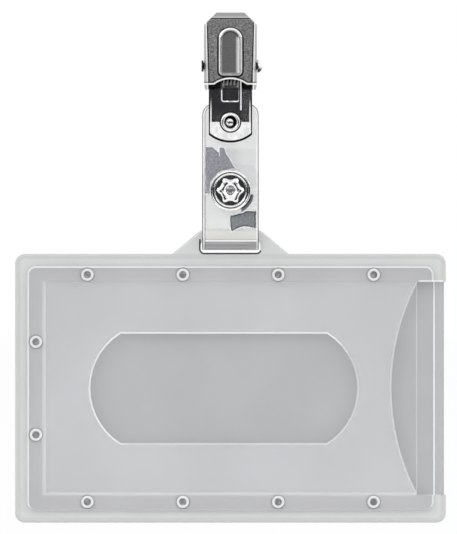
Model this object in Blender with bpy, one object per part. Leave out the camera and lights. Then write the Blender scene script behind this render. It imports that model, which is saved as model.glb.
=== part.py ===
"""Rigid card holder on a clear snap strap with a sprung metal jaw clip.

Metres, +Z up. The holder hangs below the clip and its open front faces -Y.
The origin is where the two jaw lips meet at the top of the clip.
"""
import bmesh
import bpy
import numpy as np
from math import asin, atan2, cos, degrees, hypot, pi, radians, sin, tan
from mathutils import Matrix, Vector

MM = 0.001

# Fits
GAP = 0.3 * MM
PIN_PLAY = 0.15 * MM

# Clip jaws
SHEET = 0.5 * MM
BEND_RADIUS = 0.8 * MM
LIP_HALF_GAP = 0.15 * MM
LIP_HEIGHT = 1.4 * MM
LIP_TIP_WIDTH = 7.1 * MM
LIP_ROOT_WIDTH = 9.8 * MM
SHOULDER_DROP = 3.2 * MM
JAW_WIDTH = 13.5 * MM
FLANGE_STRAIGHT = 1.3 * MM
FLANGE_SLANT = 0.3
JAW_TOP_DEPTH = 3.4 * MM
JAW_FOOT_DEPTH = 4.6 * MM
JAW_LENGTH = 18.5 * MM
JAW_FOOT_DROP = 1.3 * MM
JAW_FOOT_WIDTH = 1.2 * MM
JAW_FOOT_REACH = 2.4 * MM
JAW_EDGE = 0.35 * MM
SCALLOP_RISE = 1.4 * MM
SCALLOP_WIDTH = 8.4 * MM
EAR_RADIUS = 2.6 * MM
JAW_EAR_ARC = (-75, 60)
LEVER_EAR_ARC = (80, 285)
EMBOSS_TOP = 3.8 * MM
EMBOSS_LENGTH = 12.7 * MM
EMBOSS_WIDTH = 6.5 * MM
EMBOSS_BAND = 1.2 * MM
EMBOSS_HEIGHT = 0.4 * MM
EMBOSS_FOOT_ROUND = 1.4 * MM

# Clip lever, which is also the rear jaw
LEVER_WIDTH = 11.1 * MM
LEVER_TOP_DEPTH = 3.0 * MM
LEVER_BACK_DEPTH = 4.0 * MM
LEVER_SLANT_TOP = 14.5 * MM
LEVER_SLANT_FOOT = 19.5 * MM
LEVER_LENGTH = 33.3 * MM
LEVER_END_RISE = 2.0 * MM
TAIL_FRONT = 0.6 * MM
TAIL_FLARE = 0.4 * MM
TONGUE_WIDTH = 5.4 * MM
TONGUE_DROP = 18.6 * MM
TONGUE_LENGTH = 4.6 * MM
TONGUE_ROOT = 0.4 * MM
TONGUE_HEIGHT = 0.4 * MM
TONGUE_SLOPE = 0.6 * MM
TONGUE_ROUND = 1.0 * MM

# Pivot pin and torsion spring
PIN_DROP = 13.7 * MM
PIN_RADIUS = 0.9 * MM
PIN_DOME_RADIUS = 1.7 * MM
PIN_DOME_HEIGHT = 1.3 * MM
PIN_TAIL_RADIUS = 1.45 * MM
PIN_TAIL_HEIGHT = 0.5 * MM
WIRE = 0.4 * MM
COIL_RADIUS = 2.0 * MM
COIL_TURNS = 5.75
COIL_WIDTH = 5.3 * MM
COIL_POINTS = 9
LONG_LEG = 11.3 * MM

# Two-piece rivet between clip and strap
RIVET_DROP = 28.0 * MM
EYELET_FLANGE_RADIUS = 2.5 * MM
EYELET_FLANGE = 0.45 * MM
EYELET_BARREL_RADIUS = 2.0 * MM
EYELET_BORE_RADIUS = 1.6 * MM
RIVET_HEAD_RADIUS = 3.0 * MM
RIVET_HEAD = 0.6 * MM
RIVET_DOME = 0.7 * MM

# Strap
STRAP_WIDTH = 14.5 * MM
STRAP_THICKNESS = 0.6 * MM
STRAP_ROUND = 3.0 * MM
STRAP_RISE = 4.8 * MM
STRAP_SPACING = 2.2 * MM
LOOP_RADIUS = 2.0 * MM
LOOP_STEPS = 10
SWELL_LENGTH = 6.5 * MM
SWELL_STEPS = 5
FLAP_RISE = 6.6 * MM

# Snap fastener
SNAP_DROP = 17.5 * MM
SNAP_RADIUS = 5.3 * MM
SNAP_VALLEY_RADIUS = 4.55 * MM
SNAP_BEAD_RADIUS = 3.9 * MM
SNAP_BEAD = 0.35 * MM
SNAP_PLATE = 0.5 * MM
POST_RADIUS = 1.5 * MM
POST_BORE_RADIUS = 1.1 * MM
POST_DOME = 0.35 * MM
POST_FLANGE_RADIUS = 3.6 * MM
POST_FLANGE = 0.6 * MM
PETAL_COUNT = 6
PETAL_DEPTH = 0.9 * MM
PETAL_STEPS = 6
KNOB_RADIUS = 1.9 * MM
SOCKET_RADIUS = 4.2 * MM
CAP_CROWN = 0.9 * MM

# Holder
HOLDER_DROP = 61.8 * MM
HOLDER_WIDTH = 110.4 * MM
HOLDER_HEIGHT = 68.9 * MM
HOLDER_ROUND = 2.4 * MM
FLANGE_THICKNESS = 1.6 * MM
FLANGE_BAND = 3.15 * MM
FLANGE_EDGE = 0.5 * MM
BACK_RAISE = 0.6 * MM
BACK_ROUND = 1.6 * MM
CARD_HEIGHT = 54.0 * MM
CARD_PLAY = 0.6 * MM
POCKET_DEPTH = 1.2 * MM
POCKET_INSET = 7.1 * MM
ENTRY_SETBACK = 0.45 * MM
ENTRY_DEPTH = 4.4 * MM
ENTRY_DIP = 0.2 * MM
ENTRY_LIP = 0.1 * MM
PANEL_THICKNESS = 1.0 * MM
PANEL_ROUND = 2.1 * MM
PANEL_EDGE = 0.45 * MM
WINDOW_WIDTH = 68.4 * MM
WINDOW_HEIGHT = 28.0 * MM
WINDOW_END_RADIUS = 16.5 * MM
WINDOW_SHIFT = -1.7 * MM
NOTCH_HEIGHT = 53.2 * MM
NOTCH_DEPTH = 6.4 * MM

# Holder tab and slot
TAB_TOP_WIDTH = 17.0 * MM
TAB_BASE_WIDTH = 30.0 * MM
TAB_HEIGHT = 6.0 * MM
TAB_ROUND = 1.2 * MM
BAR_HEIGHT = 2.7 * MM
SLOT_HEIGHT = 3.0 * MM
SLOT_PLAY = 0.4 * MM
SLOT_ROUND = 1.0 * MM
SLOT_EDGE = 0.3 * MM

# Joining pegs
PEG_HEAD_RADIUS = 1.6 * MM
PEG_HEAD = 0.5 * MM
PEG_SHANK_RADIUS = 0.95 * MM
PEG_DIMPLE_RADIUS = 0.9 * MM
PEG_DIMPLE = 0.25 * MM
PEG_SEAT = 0.7 * MM
PEG_ROW_COUNT = 4
PEG_ROW_PITCH = 24.45 * MM
PEG_COLUMN_COUNT = 2
PEG_COLUMN_PITCH = 23.8 * MM
PEG_INSET = 5.35 * MM

# Colours as (red, green, blue), roughness, metallic, alpha
NICKEL = ((0.62, 0.62, 0.63), 0.28, 1.0, 1.0)
DARK_NICKEL = ((0.45, 0.45, 0.46), 0.18, 1.0, 1.0)
SPRING_STEEL = ((0.50, 0.50, 0.50), 0.35, 1.0, 1.0)
CLEAR_VINYL = ((0.90, 0.91, 0.92), 0.12, 0.0, 0.45)
FROSTED_SHELL = ((0.78, 0.79, 0.81), 0.35, 0.0, 0.85)

# Places worked out from the sizes above
LIP_TIP = LIP_HALF_GAP + SHEET / 2
PIN = Vector((0.0, 0.0, -PIN_DROP))
TAIL_BACK = TAIL_FRONT + SHEET
STRAP_FRONT = TAIL_BACK + GAP
STRAP_BACK = STRAP_FRONT + STRAP_THICKNESS
FLAP_FRONT = STRAP_BACK + STRAP_SPACING
FLAP_BACK = FLAP_FRONT + STRAP_THICKNESS
LOOP_Y = (STRAP_BACK + FLAP_FRONT) / 2
RIVET = Vector((0.0, STRAP_FRONT, -RIVET_DROP))
SNAP_Z = -RIVET_DROP - SNAP_DROP
LOOP_MID_RADIUS = LOOP_RADIUS + STRAP_THICKNESS / 2
HOLDER_TOP = -HOLDER_DROP
TAB_TOP = HOLDER_TOP + TAB_HEIGHT
SLOT_TOP = TAB_TOP - BAR_HEIGHT
BAR = Vector((0.0, LOOP_Y, TAB_TOP - BAR_HEIGHT / 2))
LOOP_Z = BAR.z - BAR_HEIGHT / 2 + GAP
FOLD = Vector((0.0, LOOP_Y + LOOP_MID_RADIUS, LOOP_Z))
HOLDER_MID = HOLDER_TOP - HOLDER_HEIGHT / 2
FLANGE_FRONT = LOOP_Y - FLANGE_THICKNESS / 2
FLANGE_BACK = LOOP_Y + FLANGE_THICKNESS / 2
POCKET_FLOOR = FLANGE_FRONT + POCKET_DEPTH
PANEL_BACK = FLANGE_FRONT - GAP
PANEL_FRONT = PANEL_BACK - PANEL_THICKNESS
PANEL_HALF = HOLDER_WIDTH / 2 - FLANGE_BAND
PANEL_TOP = HOLDER_TOP - FLANGE_BAND
PANEL_BOTTOM = HOLDER_TOP - HOLDER_HEIGHT + FLANGE_BAND
ENTRY_HALF = (CARD_HEIGHT + CARD_PLAY) / 2
ENTRY_EDGE = PANEL_HALF - ENTRY_DEPTH
BEYOND = 20 * MM


def clear_scene():
    for old in list(bpy.data.objects):
        bpy.data.objects.remove(old, do_unlink=True)


def finish_material(name, finish):
    colour, roughness, metallic, alpha = finish
    material = bpy.data.materials.new(name)
    material.use_nodes = True
    shader = material.node_tree.nodes["Principled BSDF"]
    shader.inputs["Base Color"].default_value = (*colour, 1.0)
    shader.inputs["Roughness"].default_value = roughness
    shader.inputs["Metallic"].default_value = metallic
    shader.inputs["Alpha"].default_value = alpha
    return material


def mesh_object(name, bm):
    bmesh.ops.remove_doubles(bm, verts=bm.verts, dist=1e-7)
    bmesh.ops.recalc_face_normals(bm, faces=bm.faces)
    mesh = bpy.data.meshes.new(name)
    bm.to_mesh(mesh)
    bm.free()
    mesh.shade_smooth()
    mesh.set_sharp_from_angle(angle=radians(35))
    obj = bpy.data.objects.new(name, mesh)
    bpy.context.scene.collection.objects.link(obj)
    return obj


def arc(centre, radius, start, end, steps):
    """Points on an arc from start to end, in degrees, both ends included."""
    angles = np.linspace(radians(start), radians(end), steps + 1)
    return [(centre[0] + radius * cos(a), centre[1] + radius * sin(a)) for a in angles]


def rounded_box(x0, z0, x1, z1, radius, steps=5):
    corners = (((x1 - radius, z0 + radius), -90), ((x1 - radius, z1 - radius), 0),
               ((x0 + radius, z1 - radius), 90), ((x0 + radius, z0 + radius), 180))
    points = []
    for centre, start in corners:
        points += arc(centre, radius, start, start + 90, steps)
    return points


def offset_path(path, distance):
    """An open path moved sideways, to the left of its run when distance is positive."""
    points = [Vector(p) for p in path]
    runs = [(b - a).normalized() for a, b in zip(points, points[1:])]
    moved = []
    for i, point in enumerate(points):
        before = runs[max(i - 1, 0)]
        after = runs[min(i, len(runs) - 1)]
        normal = Vector((-before.y - after.y, before.x + after.x)).normalized()
        spread = normal.dot(Vector((-after.y, after.x)))
        moved.append(tuple(point + normal * distance / spread))
    return moved


def eased(path, radius):
    """An open path with its corners rounded, in steps of about 15 degrees."""
    points = [Vector(p) for p in path]
    smooth = [path[0]]
    for before, corner, after in zip(points, points[1:], points[2:]):
        back = (before - corner).normalized()
        ahead = (after - corner).normalized()
        half = back.angle(ahead) / 2
        centre = corner + (back + ahead).normalized() * radius / sin(half)
        first = back * radius / tan(half) + corner - centre
        last = ahead * radius / tan(half) + corner - centre
        steps = max(1, round(degrees(pi - 2 * half) / 15))
        for i in range(steps + 1):
            spoke = first.lerp(last, i / steps).normalized() * radius
            smooth.append(tuple(centre + spoke))
    return smooth + [path[-1]]


def grown(outline, distance):
    """A closed counterclockwise outline with every side moved out, or in for a negative distance."""
    points = [Vector(p) for p in outline]
    moved = []
    for i, point in enumerate(points):
        before = (point - points[i - 1]).normalized()
        after = (points[(i + 1) % len(points)] - point).normalized()
        normal = Vector((before.y + after.y, -before.x - after.x)).normalized()
        spread = normal.dot(Vector((after.y, -after.x)))
        moved.append(tuple(point + normal * distance / spread))
    return moved


def lofted(name, loops, ring=False):
    """Loops of the same number of points joined in turn, capped at both ends or closed to a ring."""
    bm = bmesh.new()
    rows = [[bm.verts.new(place) for place in loop] for loop in loops]
    pairs = list(zip(rows, rows[1:]))
    if ring:
        pairs.append((rows[-1], rows[0]))
    else:
        bm.faces.new(rows[0])
        bm.faces.new(rows[-1])
    for here, there in pairs:
        for i in range(len(here)):
            bm.faces.new((here[i - 1], here[i], there[i], there[i - 1]))
    return mesh_object(name, bm)


def stacked(name, outline, levels):
    """An outline in X, Z carried along Y through levels of (place, growth), for sloped edges."""
    return lofted(name, [[(x, y, z) for x, z in grown(outline, growth)] for y, growth in levels])


def prism(name, outline, along, low, high):
    """An outline in the other two axes, in the order X, Y, Z, swept straight along X, Y or Z."""
    axis = "XYZ".index(along)
    loops = [[(*point[:axis], end, *point[axis:]) for point in outline] for end in (low, high)]
    return lofted(name, loops)


def dome(radius, base, height, steps=5):
    """A quarter of an ellipse in (radius, place) from the rim at base to the crown."""
    angles = np.linspace(0.0, pi / 2, steps + 1)
    return [(radius * cos(a), base + height * sin(a)) for a in angles[:-1]] + [(0.0, base + height)]


def roll(inner, outer, base, height, steps=6):
    """Half an ellipse in (radius, place) from inner to outer, standing off the base by height."""
    middle = (inner + outer) / 2
    reach = (outer - inner) / 2
    return [(middle - reach * cos(a), base + height * sin(a)) for a in np.linspace(0.0, pi, steps + 1)]


def turned(name, profile, along, centre, segments=28, closed=False, ripple=None):
    """A profile of (radius, place along the axis) spun about an axis through centre."""
    bm = bmesh.new()
    verts = [bm.verts.new((radius, 0.0, place)) for radius, place in profile]
    pairs = list(zip(verts, verts[1:]))
    if closed:
        pairs.append((verts[-1], verts[0]))
    edges = [bm.edges.new(pair) for pair in pairs]
    bmesh.ops.spin(bm, geom=verts + edges, cent=(0, 0, 0), axis=(0, 0, 1), angle=2 * pi,
                   steps=segments, use_merge=True)
    bmesh.ops.remove_doubles(bm, verts=bm.verts, dist=1e-7)
    if ripple:
        ripple(bm)
    turn = {"Y": Matrix.Rotation(-pi / 2, 4, "X"), "X": Matrix.Rotation(pi / 2, 4, "Y")}[along]
    bmesh.ops.transform(bm, matrix=Matrix.Translation(centre) @ turn, verts=bm.verts)
    return mesh_object(name, bm)


def at_pegs(name, profile, front, segments):
    """One tool holding the same turned shape at every peg, facing front."""
    places = [Vector((x, front, z)) for x, z in peg_places()]
    tool = turned(name, profile, "Y", places[0], segments)
    bm = bmesh.new()
    bm.from_mesh(tool.data)
    first = list(bm.verts) + list(bm.edges) + list(bm.faces)
    for place in places[1:]:
        copied = bmesh.ops.duplicate(bm, geom=first)["geom"]
        verts = [v for v in copied if isinstance(v, bmesh.types.BMVert)]
        bmesh.ops.translate(bm, verts=verts, vec=place - places[0])
    bm.to_mesh(tool.data)
    bm.free()
    return tool


def combine(target, tool, operation):
    """A live Boolean. The tool stays in the file as a wire guide."""
    tool.hide_render = True
    tool.display_type = "WIRE"
    modifier = target.modifiers.new(tool.name, "BOOLEAN")
    modifier.operation = operation
    modifier.solver = "EXACT"
    modifier.object = tool


def drill(target, name, centre, radius, along, low, high, segments=28):
    profile = [(0.0, high), (radius, high), (radius, low), (0.0, low)]
    combine(target, turned(name, profile, along, centre, segments), "DIFFERENCE")


def axis_empty(name, place, parent=None):
    empty = bpy.data.objects.new(name, None)
    bpy.context.scene.collection.objects.link(empty)
    empty.location = place
    if parent:
        empty.parent = parent
        empty.location = Vector(place) - parent.matrix_world.translation
    bpy.context.view_layer.update()
    return empty


def seat(obj, carrier, material):
    """Gives a piece its finish and hangs it on the empty that its body turns about."""
    obj.data.materials.append(material)
    obj.parent = carrier
    obj.location = -carrier.matrix_world.translation


def lip_outline(body_width):
    """Upper edge of a jaw seen from the front, from its left shoulder to its right one."""
    half = body_width / 2
    right = [(LIP_TIP_WIDTH / 2, 0.0), (LIP_ROOT_WIDTH / 2, -LIP_HEIGHT), (half, -SHOULDER_DROP)]
    return [(-x, z) for x, z in reversed(right)] + right


def front_jaw_face():
    """Outer line of the front jaw's sheet in Y, Z: lip tip, bend and foot. Also the face's lean."""
    lean = (JAW_FOOT_DEPTH - JAW_TOP_DEPTH) / (JAW_LENGTH - LIP_HEIGHT)
    foot = JAW_LENGTH + JAW_FOOT_DROP
    foot_depth = JAW_FOOT_DEPTH + lean * JAW_FOOT_DROP
    line = [(-LIP_TIP, 0.0), (-JAW_TOP_DEPTH, -LIP_HEIGHT), (-foot_depth, -foot)]
    return eased(line, BEND_RADIUS), lean


def flank_outline(inset):
    """The jaw's flanges seen from above, in X, Y: straight by the pin and drawn in towards the face."""
    half = JAW_WIDTH / 2
    front = (half - FLANGE_SLANT * BEYOND, -FLANGE_STRAIGHT - BEYOND)
    side = offset_path([(half, BEYOND), (half, -FLANGE_STRAIGHT), front], -inset)
    return side + [(-x, y) for x, y in reversed(side)]


def on_jaw_face(lean):
    """Moves a shape made at Y = 0 to the jaw's leaning face."""
    matrix = Matrix.Identity(4)
    matrix[1][2] = lean
    matrix[1][3] = -JAW_TOP_DEPTH + lean * LIP_HEIGHT
    return matrix


def make_front_jaw():
    face, lean = front_jaw_face()
    inside = offset_path(face, SHEET)
    foot_y, foot_z = face[-1]
    ear = arc((PIN.y, PIN.z), EAR_RADIUS, *JAW_EAR_ARC, 9)
    side = face + [(foot_y + JAW_FOOT_REACH, foot_z)] + ear + [inside[0]]
    jaw = prism("front_jaw", side, "X", -JAW_WIDTH, JAW_WIDTH)
    combine(jaw, prism("jaw_flanks", flank_outline(0.0), "Z", -LEVER_LENGTH, BEYOND), "INTERSECT")

    hollow_foot = -LEVER_LENGTH - BEYOND
    hollow = inside + [(inside[-1][0], hollow_foot), (BEYOND, hollow_foot), (BEYOND, inside[0][1])]
    core = prism("jaw_hollow", hollow, "X", -JAW_WIDTH, JAW_WIDTH)
    combine(core, prism("jaw_inner_flanks", flank_outline(SHEET), "Z", -LEVER_LENGTH, BEYOND), "INTERSECT")
    combine(jaw, core, "DIFFERENCE")

    half = JAW_WIDTH / 2
    shoulder = -JAW_LENGTH
    scallop_radius = ((SCALLOP_WIDTH / 2) ** 2 + SCALLOP_RISE ** 2) / (2 * SCALLOP_RISE)
    spread = degrees(asin(SCALLOP_WIDTH / 2 / scallop_radius))
    scallop = arc((0.0, shoulder + SCALLOP_RISE - scallop_radius), scallop_radius,
                  90 - spread, 90 + spread, 12)
    inner_foot = half - JAW_FOOT_WIDTH
    edge = [(inner_foot, shoulder)] + scallop + [(-inner_foot, shoulder)]
    foot = shoulder - JAW_FOOT_DROP - BEYOND
    outline = lip_outline(JAW_WIDTH) + [(half, foot), (inner_foot, foot)] + edge
    outline += [(-inner_foot, foot), (-half, foot)]
    combine(jaw, prism("jaw_outline", outline, "Y", -BEYOND, BEYOND), "INTERSECT")

    slope = prism("jaw_edge_slope", edge + [(-inner_foot, foot), (inner_foot, foot)], "Y", -BEYOND, JAW_EDGE)
    rise = Matrix.Identity(4)
    rise[2][1] = -1.0
    rise[2][3] = JAW_EDGE
    slope.data.transform(on_jaw_face(lean) @ rise)
    combine(jaw, slope, "DIFFERENCE")

    drill(jaw, "jaw_pin_hole", PIN, PIN_RADIUS + PIN_PLAY, "X", -JAW_WIDTH, JAW_WIDTH)
    combine(jaw, emboss_ring(lean), "UNION")
    return jaw


def emboss_ring(lean):
    """The arched rib pressed out of the jaw's face, round across and leaning with the face."""
    half = EMBOSS_WIDTH / 2
    top = -EMBOSS_TOP
    bottom = top - EMBOSS_LENGTH
    inner = half - EMBOSS_FOOT_ROUND
    outline = arc((0.0, top - half), half, 0, 180, 12)
    outline += arc((-inner, bottom + EMBOSS_FOOT_ROUND), EMBOSS_FOOT_ROUND, 180, 270, 4)
    outline += arc((inner, bottom + EMBOSS_FOOT_ROUND), EMBOSS_FOOT_ROUND, 270, 360, 4)
    rib = roll(0.0, EMBOSS_BAND, 0.0, -EMBOSS_HEIGHT)[1:-1]
    section = [(0.0, SHEET / 2)] + rib + [(EMBOSS_BAND, SHEET / 2)]
    loops = [[(x, y, z) for x, z in grown(outline, -inset)] for inset, y in section]
    ring = lofted("emboss_rib", loops, ring=True)
    ring.data.transform(on_jaw_face(lean))
    return ring


def lever_back():
    """Rear line of the lever's sheet in Y, Z, from the lip down to the end of the tail."""
    return eased([(LIP_TIP, 0.0), (LEVER_TOP_DEPTH, -LIP_HEIGHT), (LEVER_BACK_DEPTH, -LEVER_SLANT_TOP),
                  (TAIL_BACK, -LEVER_SLANT_FOOT), (TAIL_BACK, -RIVET_DROP),
                  (TAIL_BACK - TAIL_FLARE, -LEVER_LENGTH)], BEND_RADIUS)


def make_lever():
    back = lever_back()
    front = offset_path(back, -SHEET)
    half = LEVER_WIDTH / 2
    lever = prism("lever", back + front[::-1], "X", -half, half)

    ear_top = PIN.z + EAR_RADIUS
    ear_foot = PIN.z - EAR_RADIUS
    slant = (LEVER_BACK_DEPTH - TAIL_BACK) / (LEVER_SLANT_FOOT - LEVER_SLANT_TOP)
    root_top = LEVER_TOP_DEPTH - SHEET / 2
    root_foot = LEVER_BACK_DEPTH - slant * (-ear_foot - LEVER_SLANT_TOP) - SHEET / 2
    flange = arc((PIN.y, PIN.z), EAR_RADIUS, *LEVER_EAR_ARC, 12)
    flange += [(root_foot, ear_foot), (root_top, ear_top)]
    for side, name in ((-1, "lever_ear_left"), (1, "lever_ear_right")):
        ends = sorted((side * half, side * (half - SHEET)))
        combine(lever, prism(name, flange, "X", *ends), "UNION")

    end_radius = (half ** 2 + LEVER_END_RISE ** 2) / (2 * LEVER_END_RISE)
    spread = degrees(asin(half / end_radius))
    end = arc((0.0, end_radius - LEVER_LENGTH), end_radius, -90 + spread, -90 - spread, 12)
    combine(lever, prism("lever_outline", lip_outline(LEVER_WIDTH) + end, "Y", -BEYOND, BEYOND), "INTERSECT")

    tongue = rounded_box(-TONGUE_WIDTH / 2, -TONGUE_DROP - TONGUE_LENGTH, TONGUE_WIDTH / 2, -TONGUE_DROP,
                         TONGUE_ROUND)
    levels = [(TAIL_FRONT + TONGUE_ROOT, 0.0), (TAIL_FRONT - TONGUE_HEIGHT, -TONGUE_SLOPE)]
    combine(lever, stacked("lever_tongue", tongue, levels), "UNION")
    drill(lever, "lever_pin_hole", PIN, PIN_RADIUS + PIN_PLAY, "X", -JAW_WIDTH, JAW_WIDTH)
    drill(lever, "lever_rivet_hole", RIVET, EYELET_BARREL_RADIUS + GAP, "Y", -BEYOND, BEYOND)
    return lever


def make_pin():
    outside = JAW_WIDTH / 2 + PIN_PLAY
    profile = dome(PIN_DOME_RADIUS, outside, PIN_DOME_HEIGHT)[::-1]
    profile += [(PIN_RADIUS, outside), (PIN_RADIUS, -outside), (PIN_TAIL_RADIUS, -outside),
                (PIN_TAIL_RADIUS, -outside - PIN_TAIL_HEIGHT), (0.0, -outside - PIN_TAIL_HEIGHT)]
    return turned("pivot_pin", profile, "X", PIN, 24)


def spring_path():
    """Centre line of the spring: short leg to the front jaw, coil, long leg down the lever's tail."""
    half = COIL_WIDTH / 2
    count = int(COIL_TURNS * COIL_POINTS)
    coil = []
    for i in range(count + 1):
        share = i / count
        angle = 2 * pi * COIL_TURNS * share - pi / 2
        coil.append(Vector((-half + COIL_WIDTH * share, COIL_RADIUS * cos(angle),
                            PIN.z + COIL_RADIUS * sin(angle))))
    rest = -JAW_FOOT_DEPTH + SHEET + GAP + WIRE
    short = [Vector((-half, rest, PIN.z - COIL_RADIUS - WIRE)),
             Vector((-half, -COIL_RADIUS, PIN.z - COIL_RADIUS - WIRE / 4))]
    on_tail = TAIL_FRONT - GAP - WIRE / 2
    long = [Vector((half, on_tail - WIRE, -LEVER_SLANT_FOOT)),
            Vector((half, on_tail, -LEVER_SLANT_FOOT - WIRE * 4)),
            Vector((half, on_tail, PIN.z - LONG_LEG))]
    return short + coil + long


def least_gap(path, apart, thickness):
    """Least distance between stretches of a wire that lie at least apart points from each other."""
    points = np.array([tuple(p) for p in path])
    fine = np.concatenate([np.linspace(a, b, 6)[:-1] for a, b in zip(points, points[1:])])
    distance = np.linalg.norm(fine[:, None] - fine[None], axis=2)
    index = np.arange(len(fine))
    far = np.abs(index[:, None] - index[None]) >= apart * 5
    return distance[far].min() - thickness


def make_spring():
    path = spring_path()
    curve = bpy.data.curves.new("torsion_spring", "CURVE")
    curve.dimensions = "3D"
    curve.bevel_depth = WIRE / 2
    curve.bevel_resolution = 1
    curve.use_fill_caps = True
    spline = curve.splines.new("POLY")
    spline.points.add(len(path) - 1)
    for point, place in zip(spline.points, path):
        point.co = (*place, 1.0)
    spring = bpy.data.objects.new("torsion_spring", curve)
    bpy.context.scene.collection.objects.link(spring)
    print("torsion spring, least gap to itself: %.2f mm" % (least_gap(path, COIL_POINTS // 2, WIRE) / MM))
    return spring


def make_eyelet():
    seat_y = TAIL_FRONT - GAP - RIVET.y
    profile = roll(EYELET_BORE_RADIUS, EYELET_FLANGE_RADIUS, seat_y, -EYELET_FLANGE)
    profile += [(EYELET_BARREL_RADIUS, seat_y), (EYELET_BARREL_RADIUS, STRAP_THICKNESS),
                (EYELET_BORE_RADIUS, STRAP_THICKNESS)]
    return turned("clip_eyelet", profile, "Y", RIVET, 28, closed=True)


def make_rivet():
    shank = EYELET_BORE_RADIUS - GAP
    head = STRAP_THICKNESS + GAP
    tip = dome(shank, TAIL_FRONT - RIVET.y + RIVET_DOME, -RIVET_DOME)
    profile = tip[::-1] + [(shank, head)] + dome(RIVET_HEAD_RADIUS, head, RIVET_HEAD)
    return turned("clip_rivet", profile, "Y", RIVET, 28)


def swell(start, end):
    """A leg's centre line easing from start to end, both (y, z), without either end."""
    points = []
    for i in range(1, SWELL_STEPS):
        share = i / SWELL_STEPS
        ease = (1 - cos(pi * share)) / 2
        points.append((start[0] + (end[0] - start[0]) * ease, start[1] + (end[1] - start[1]) * share))
    return points


def band(name, path, tail_cap, end_z):
    """A strap layer: a centre line in Y, Z with thickness, the full width across, round at end_z."""
    half = STRAP_THICKNESS / 2
    outline = offset_path(path, half) + tail_cap + offset_path(path, -half)[::-1]
    layer = prism(name, outline, "X", -STRAP_WIDTH / 2, STRAP_WIDTH / 2)
    bm = bmesh.new()
    bm.from_mesh(layer.data)
    corners = [e for e in bm.edges if all(abs(v.co.z - end_z) < 1e-6 for v in e.verts)
               and abs(e.verts[0].co.x - e.verts[1].co.x) < 1e-6]
    bmesh.ops.bevel(bm, geom=corners, offset=STRAP_ROUND, affect="EDGES", segments=6, profile=0.5)
    bmesh.ops.recalc_face_normals(bm, faces=bm.faces)
    bm.to_mesh(layer.data)
    bm.free()
    return layer


def make_strap():
    top = RIVET.z + STRAP_RISE
    leg_y = STRAP_FRONT + STRAP_THICKNESS / 2
    loop_y = LOOP_Y - LOOP_MID_RADIUS
    swell_top = LOOP_Z + SWELL_LENGTH
    stop = -degrees((STRAP_THICKNESS / 2 + GAP) / LOOP_MID_RADIUS)
    loop = arc((LOOP_Y, LOOP_Z), LOOP_MID_RADIUS, -180, stop, LOOP_STEPS)
    path = [(leg_y, top), (leg_y, swell_top)] + swell((leg_y, swell_top), (loop_y, LOOP_Z)) + loop
    strap = band("strap", path, [], top)
    drill(strap, "strap_rivet_hole", RIVET, EYELET_BARREL_RADIUS + GAP, "Y", -GAP, STRAP_THICKNESS + GAP)
    snap = Vector((0.0, STRAP_FRONT, SNAP_Z))
    drill(strap, "strap_post_hole", snap, POST_RADIUS + GAP, "Y", -GAP, STRAP_THICKNESS + GAP)
    return strap


def make_flap():
    """The strap's rear layer. Its lower end is round about the fold that it turns on."""
    leg_y = FLAP_FRONT + STRAP_THICKNESS / 2
    swell_top = LOOP_Z + SWELL_LENGTH
    end = SNAP_Z + FLAP_RISE
    half = STRAP_THICKNESS / 2
    fold = (FOLD.y, FOLD.z)
    path = [(leg_y, end), (leg_y, swell_top)] + swell((leg_y, swell_top), fold) + [fold]
    cap = arc(fold, half, 0, -180, 6)[1:-1]
    flap = band("strap_flap", path, cap, end)
    snap = Vector((0.0, FLAP_FRONT, SNAP_Z))
    drill(flap, "flap_cap_hole", snap, POST_RADIUS + GAP, "Y", -GAP, STRAP_THICKNESS + GAP)
    return flap


def make_snap_ring():
    back = -GAP
    front = back - SNAP_PLATE
    inner = POST_RADIUS + GAP
    bead = roll(SNAP_BEAD_RADIUS, SNAP_VALLEY_RADIUS, front, -SNAP_BEAD)
    rim = roll(SNAP_VALLEY_RADIUS, SNAP_RADIUS, front, -SNAP_BEAD)
    profile = [(inner, front)] + bead + rim[1:] + [(SNAP_RADIUS, back), (inner, back)]
    place = Vector((0.0, STRAP_FRONT, SNAP_Z))
    return turned("snap_ring", profile, "Y", place, 36, closed=True)


def petals(bm):
    """Draws the rolled flange in between its petals, most at its edge."""
    for vert in bm.verts:
        radius = hypot(vert.co.x, vert.co.y)
        reach = (radius - POST_RADIUS) / (POST_FLANGE_RADIUS - POST_RADIUS)
        if reach <= 0.0:
            continue
        tip = (1 + cos(PETAL_COUNT * atan2(vert.co.y, vert.co.x))) / 2
        pull = PETAL_DEPTH * reach * (1 - tip ** 2)
        vert.co.x *= (radius - pull) / radius
        vert.co.y *= (radius - pull) / radius


def make_snap_post():
    flange_back = -GAP - SNAP_PLATE - GAP
    end = STRAP_THICKNESS + GAP
    floor = end - SNAP_PLATE
    profile = dome(POST_BORE_RADIUS, floor, -POST_DOME)[::-1]
    profile += roll(POST_BORE_RADIUS, POST_FLANGE_RADIUS, flange_back, -POST_FLANGE)
    profile += [(POST_RADIUS, flange_back), (POST_RADIUS, end), (0.0, end)]
    place = Vector((0.0, STRAP_FRONT, SNAP_Z))
    return turned("snap_post", profile, "Y", place, PETAL_COUNT * PETAL_STEPS, ripple=petals)


def make_snap_socket():
    front = GAP
    back = STRAP_SPACING - SNAP_PLATE - 2 * GAP
    step = front + SNAP_PLATE
    hole = POST_RADIUS + GAP
    mouth = KNOB_RADIUS + GAP
    profile = [(hole, front), (SOCKET_RADIUS, front), (SOCKET_RADIUS, step), (mouth + SNAP_PLATE, back),
               (mouth, back), (mouth, step), (hole, step)]
    return turned("snap_socket", profile, "Y", Vector((0.0, STRAP_BACK, SNAP_Z)), 32, closed=True)


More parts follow.
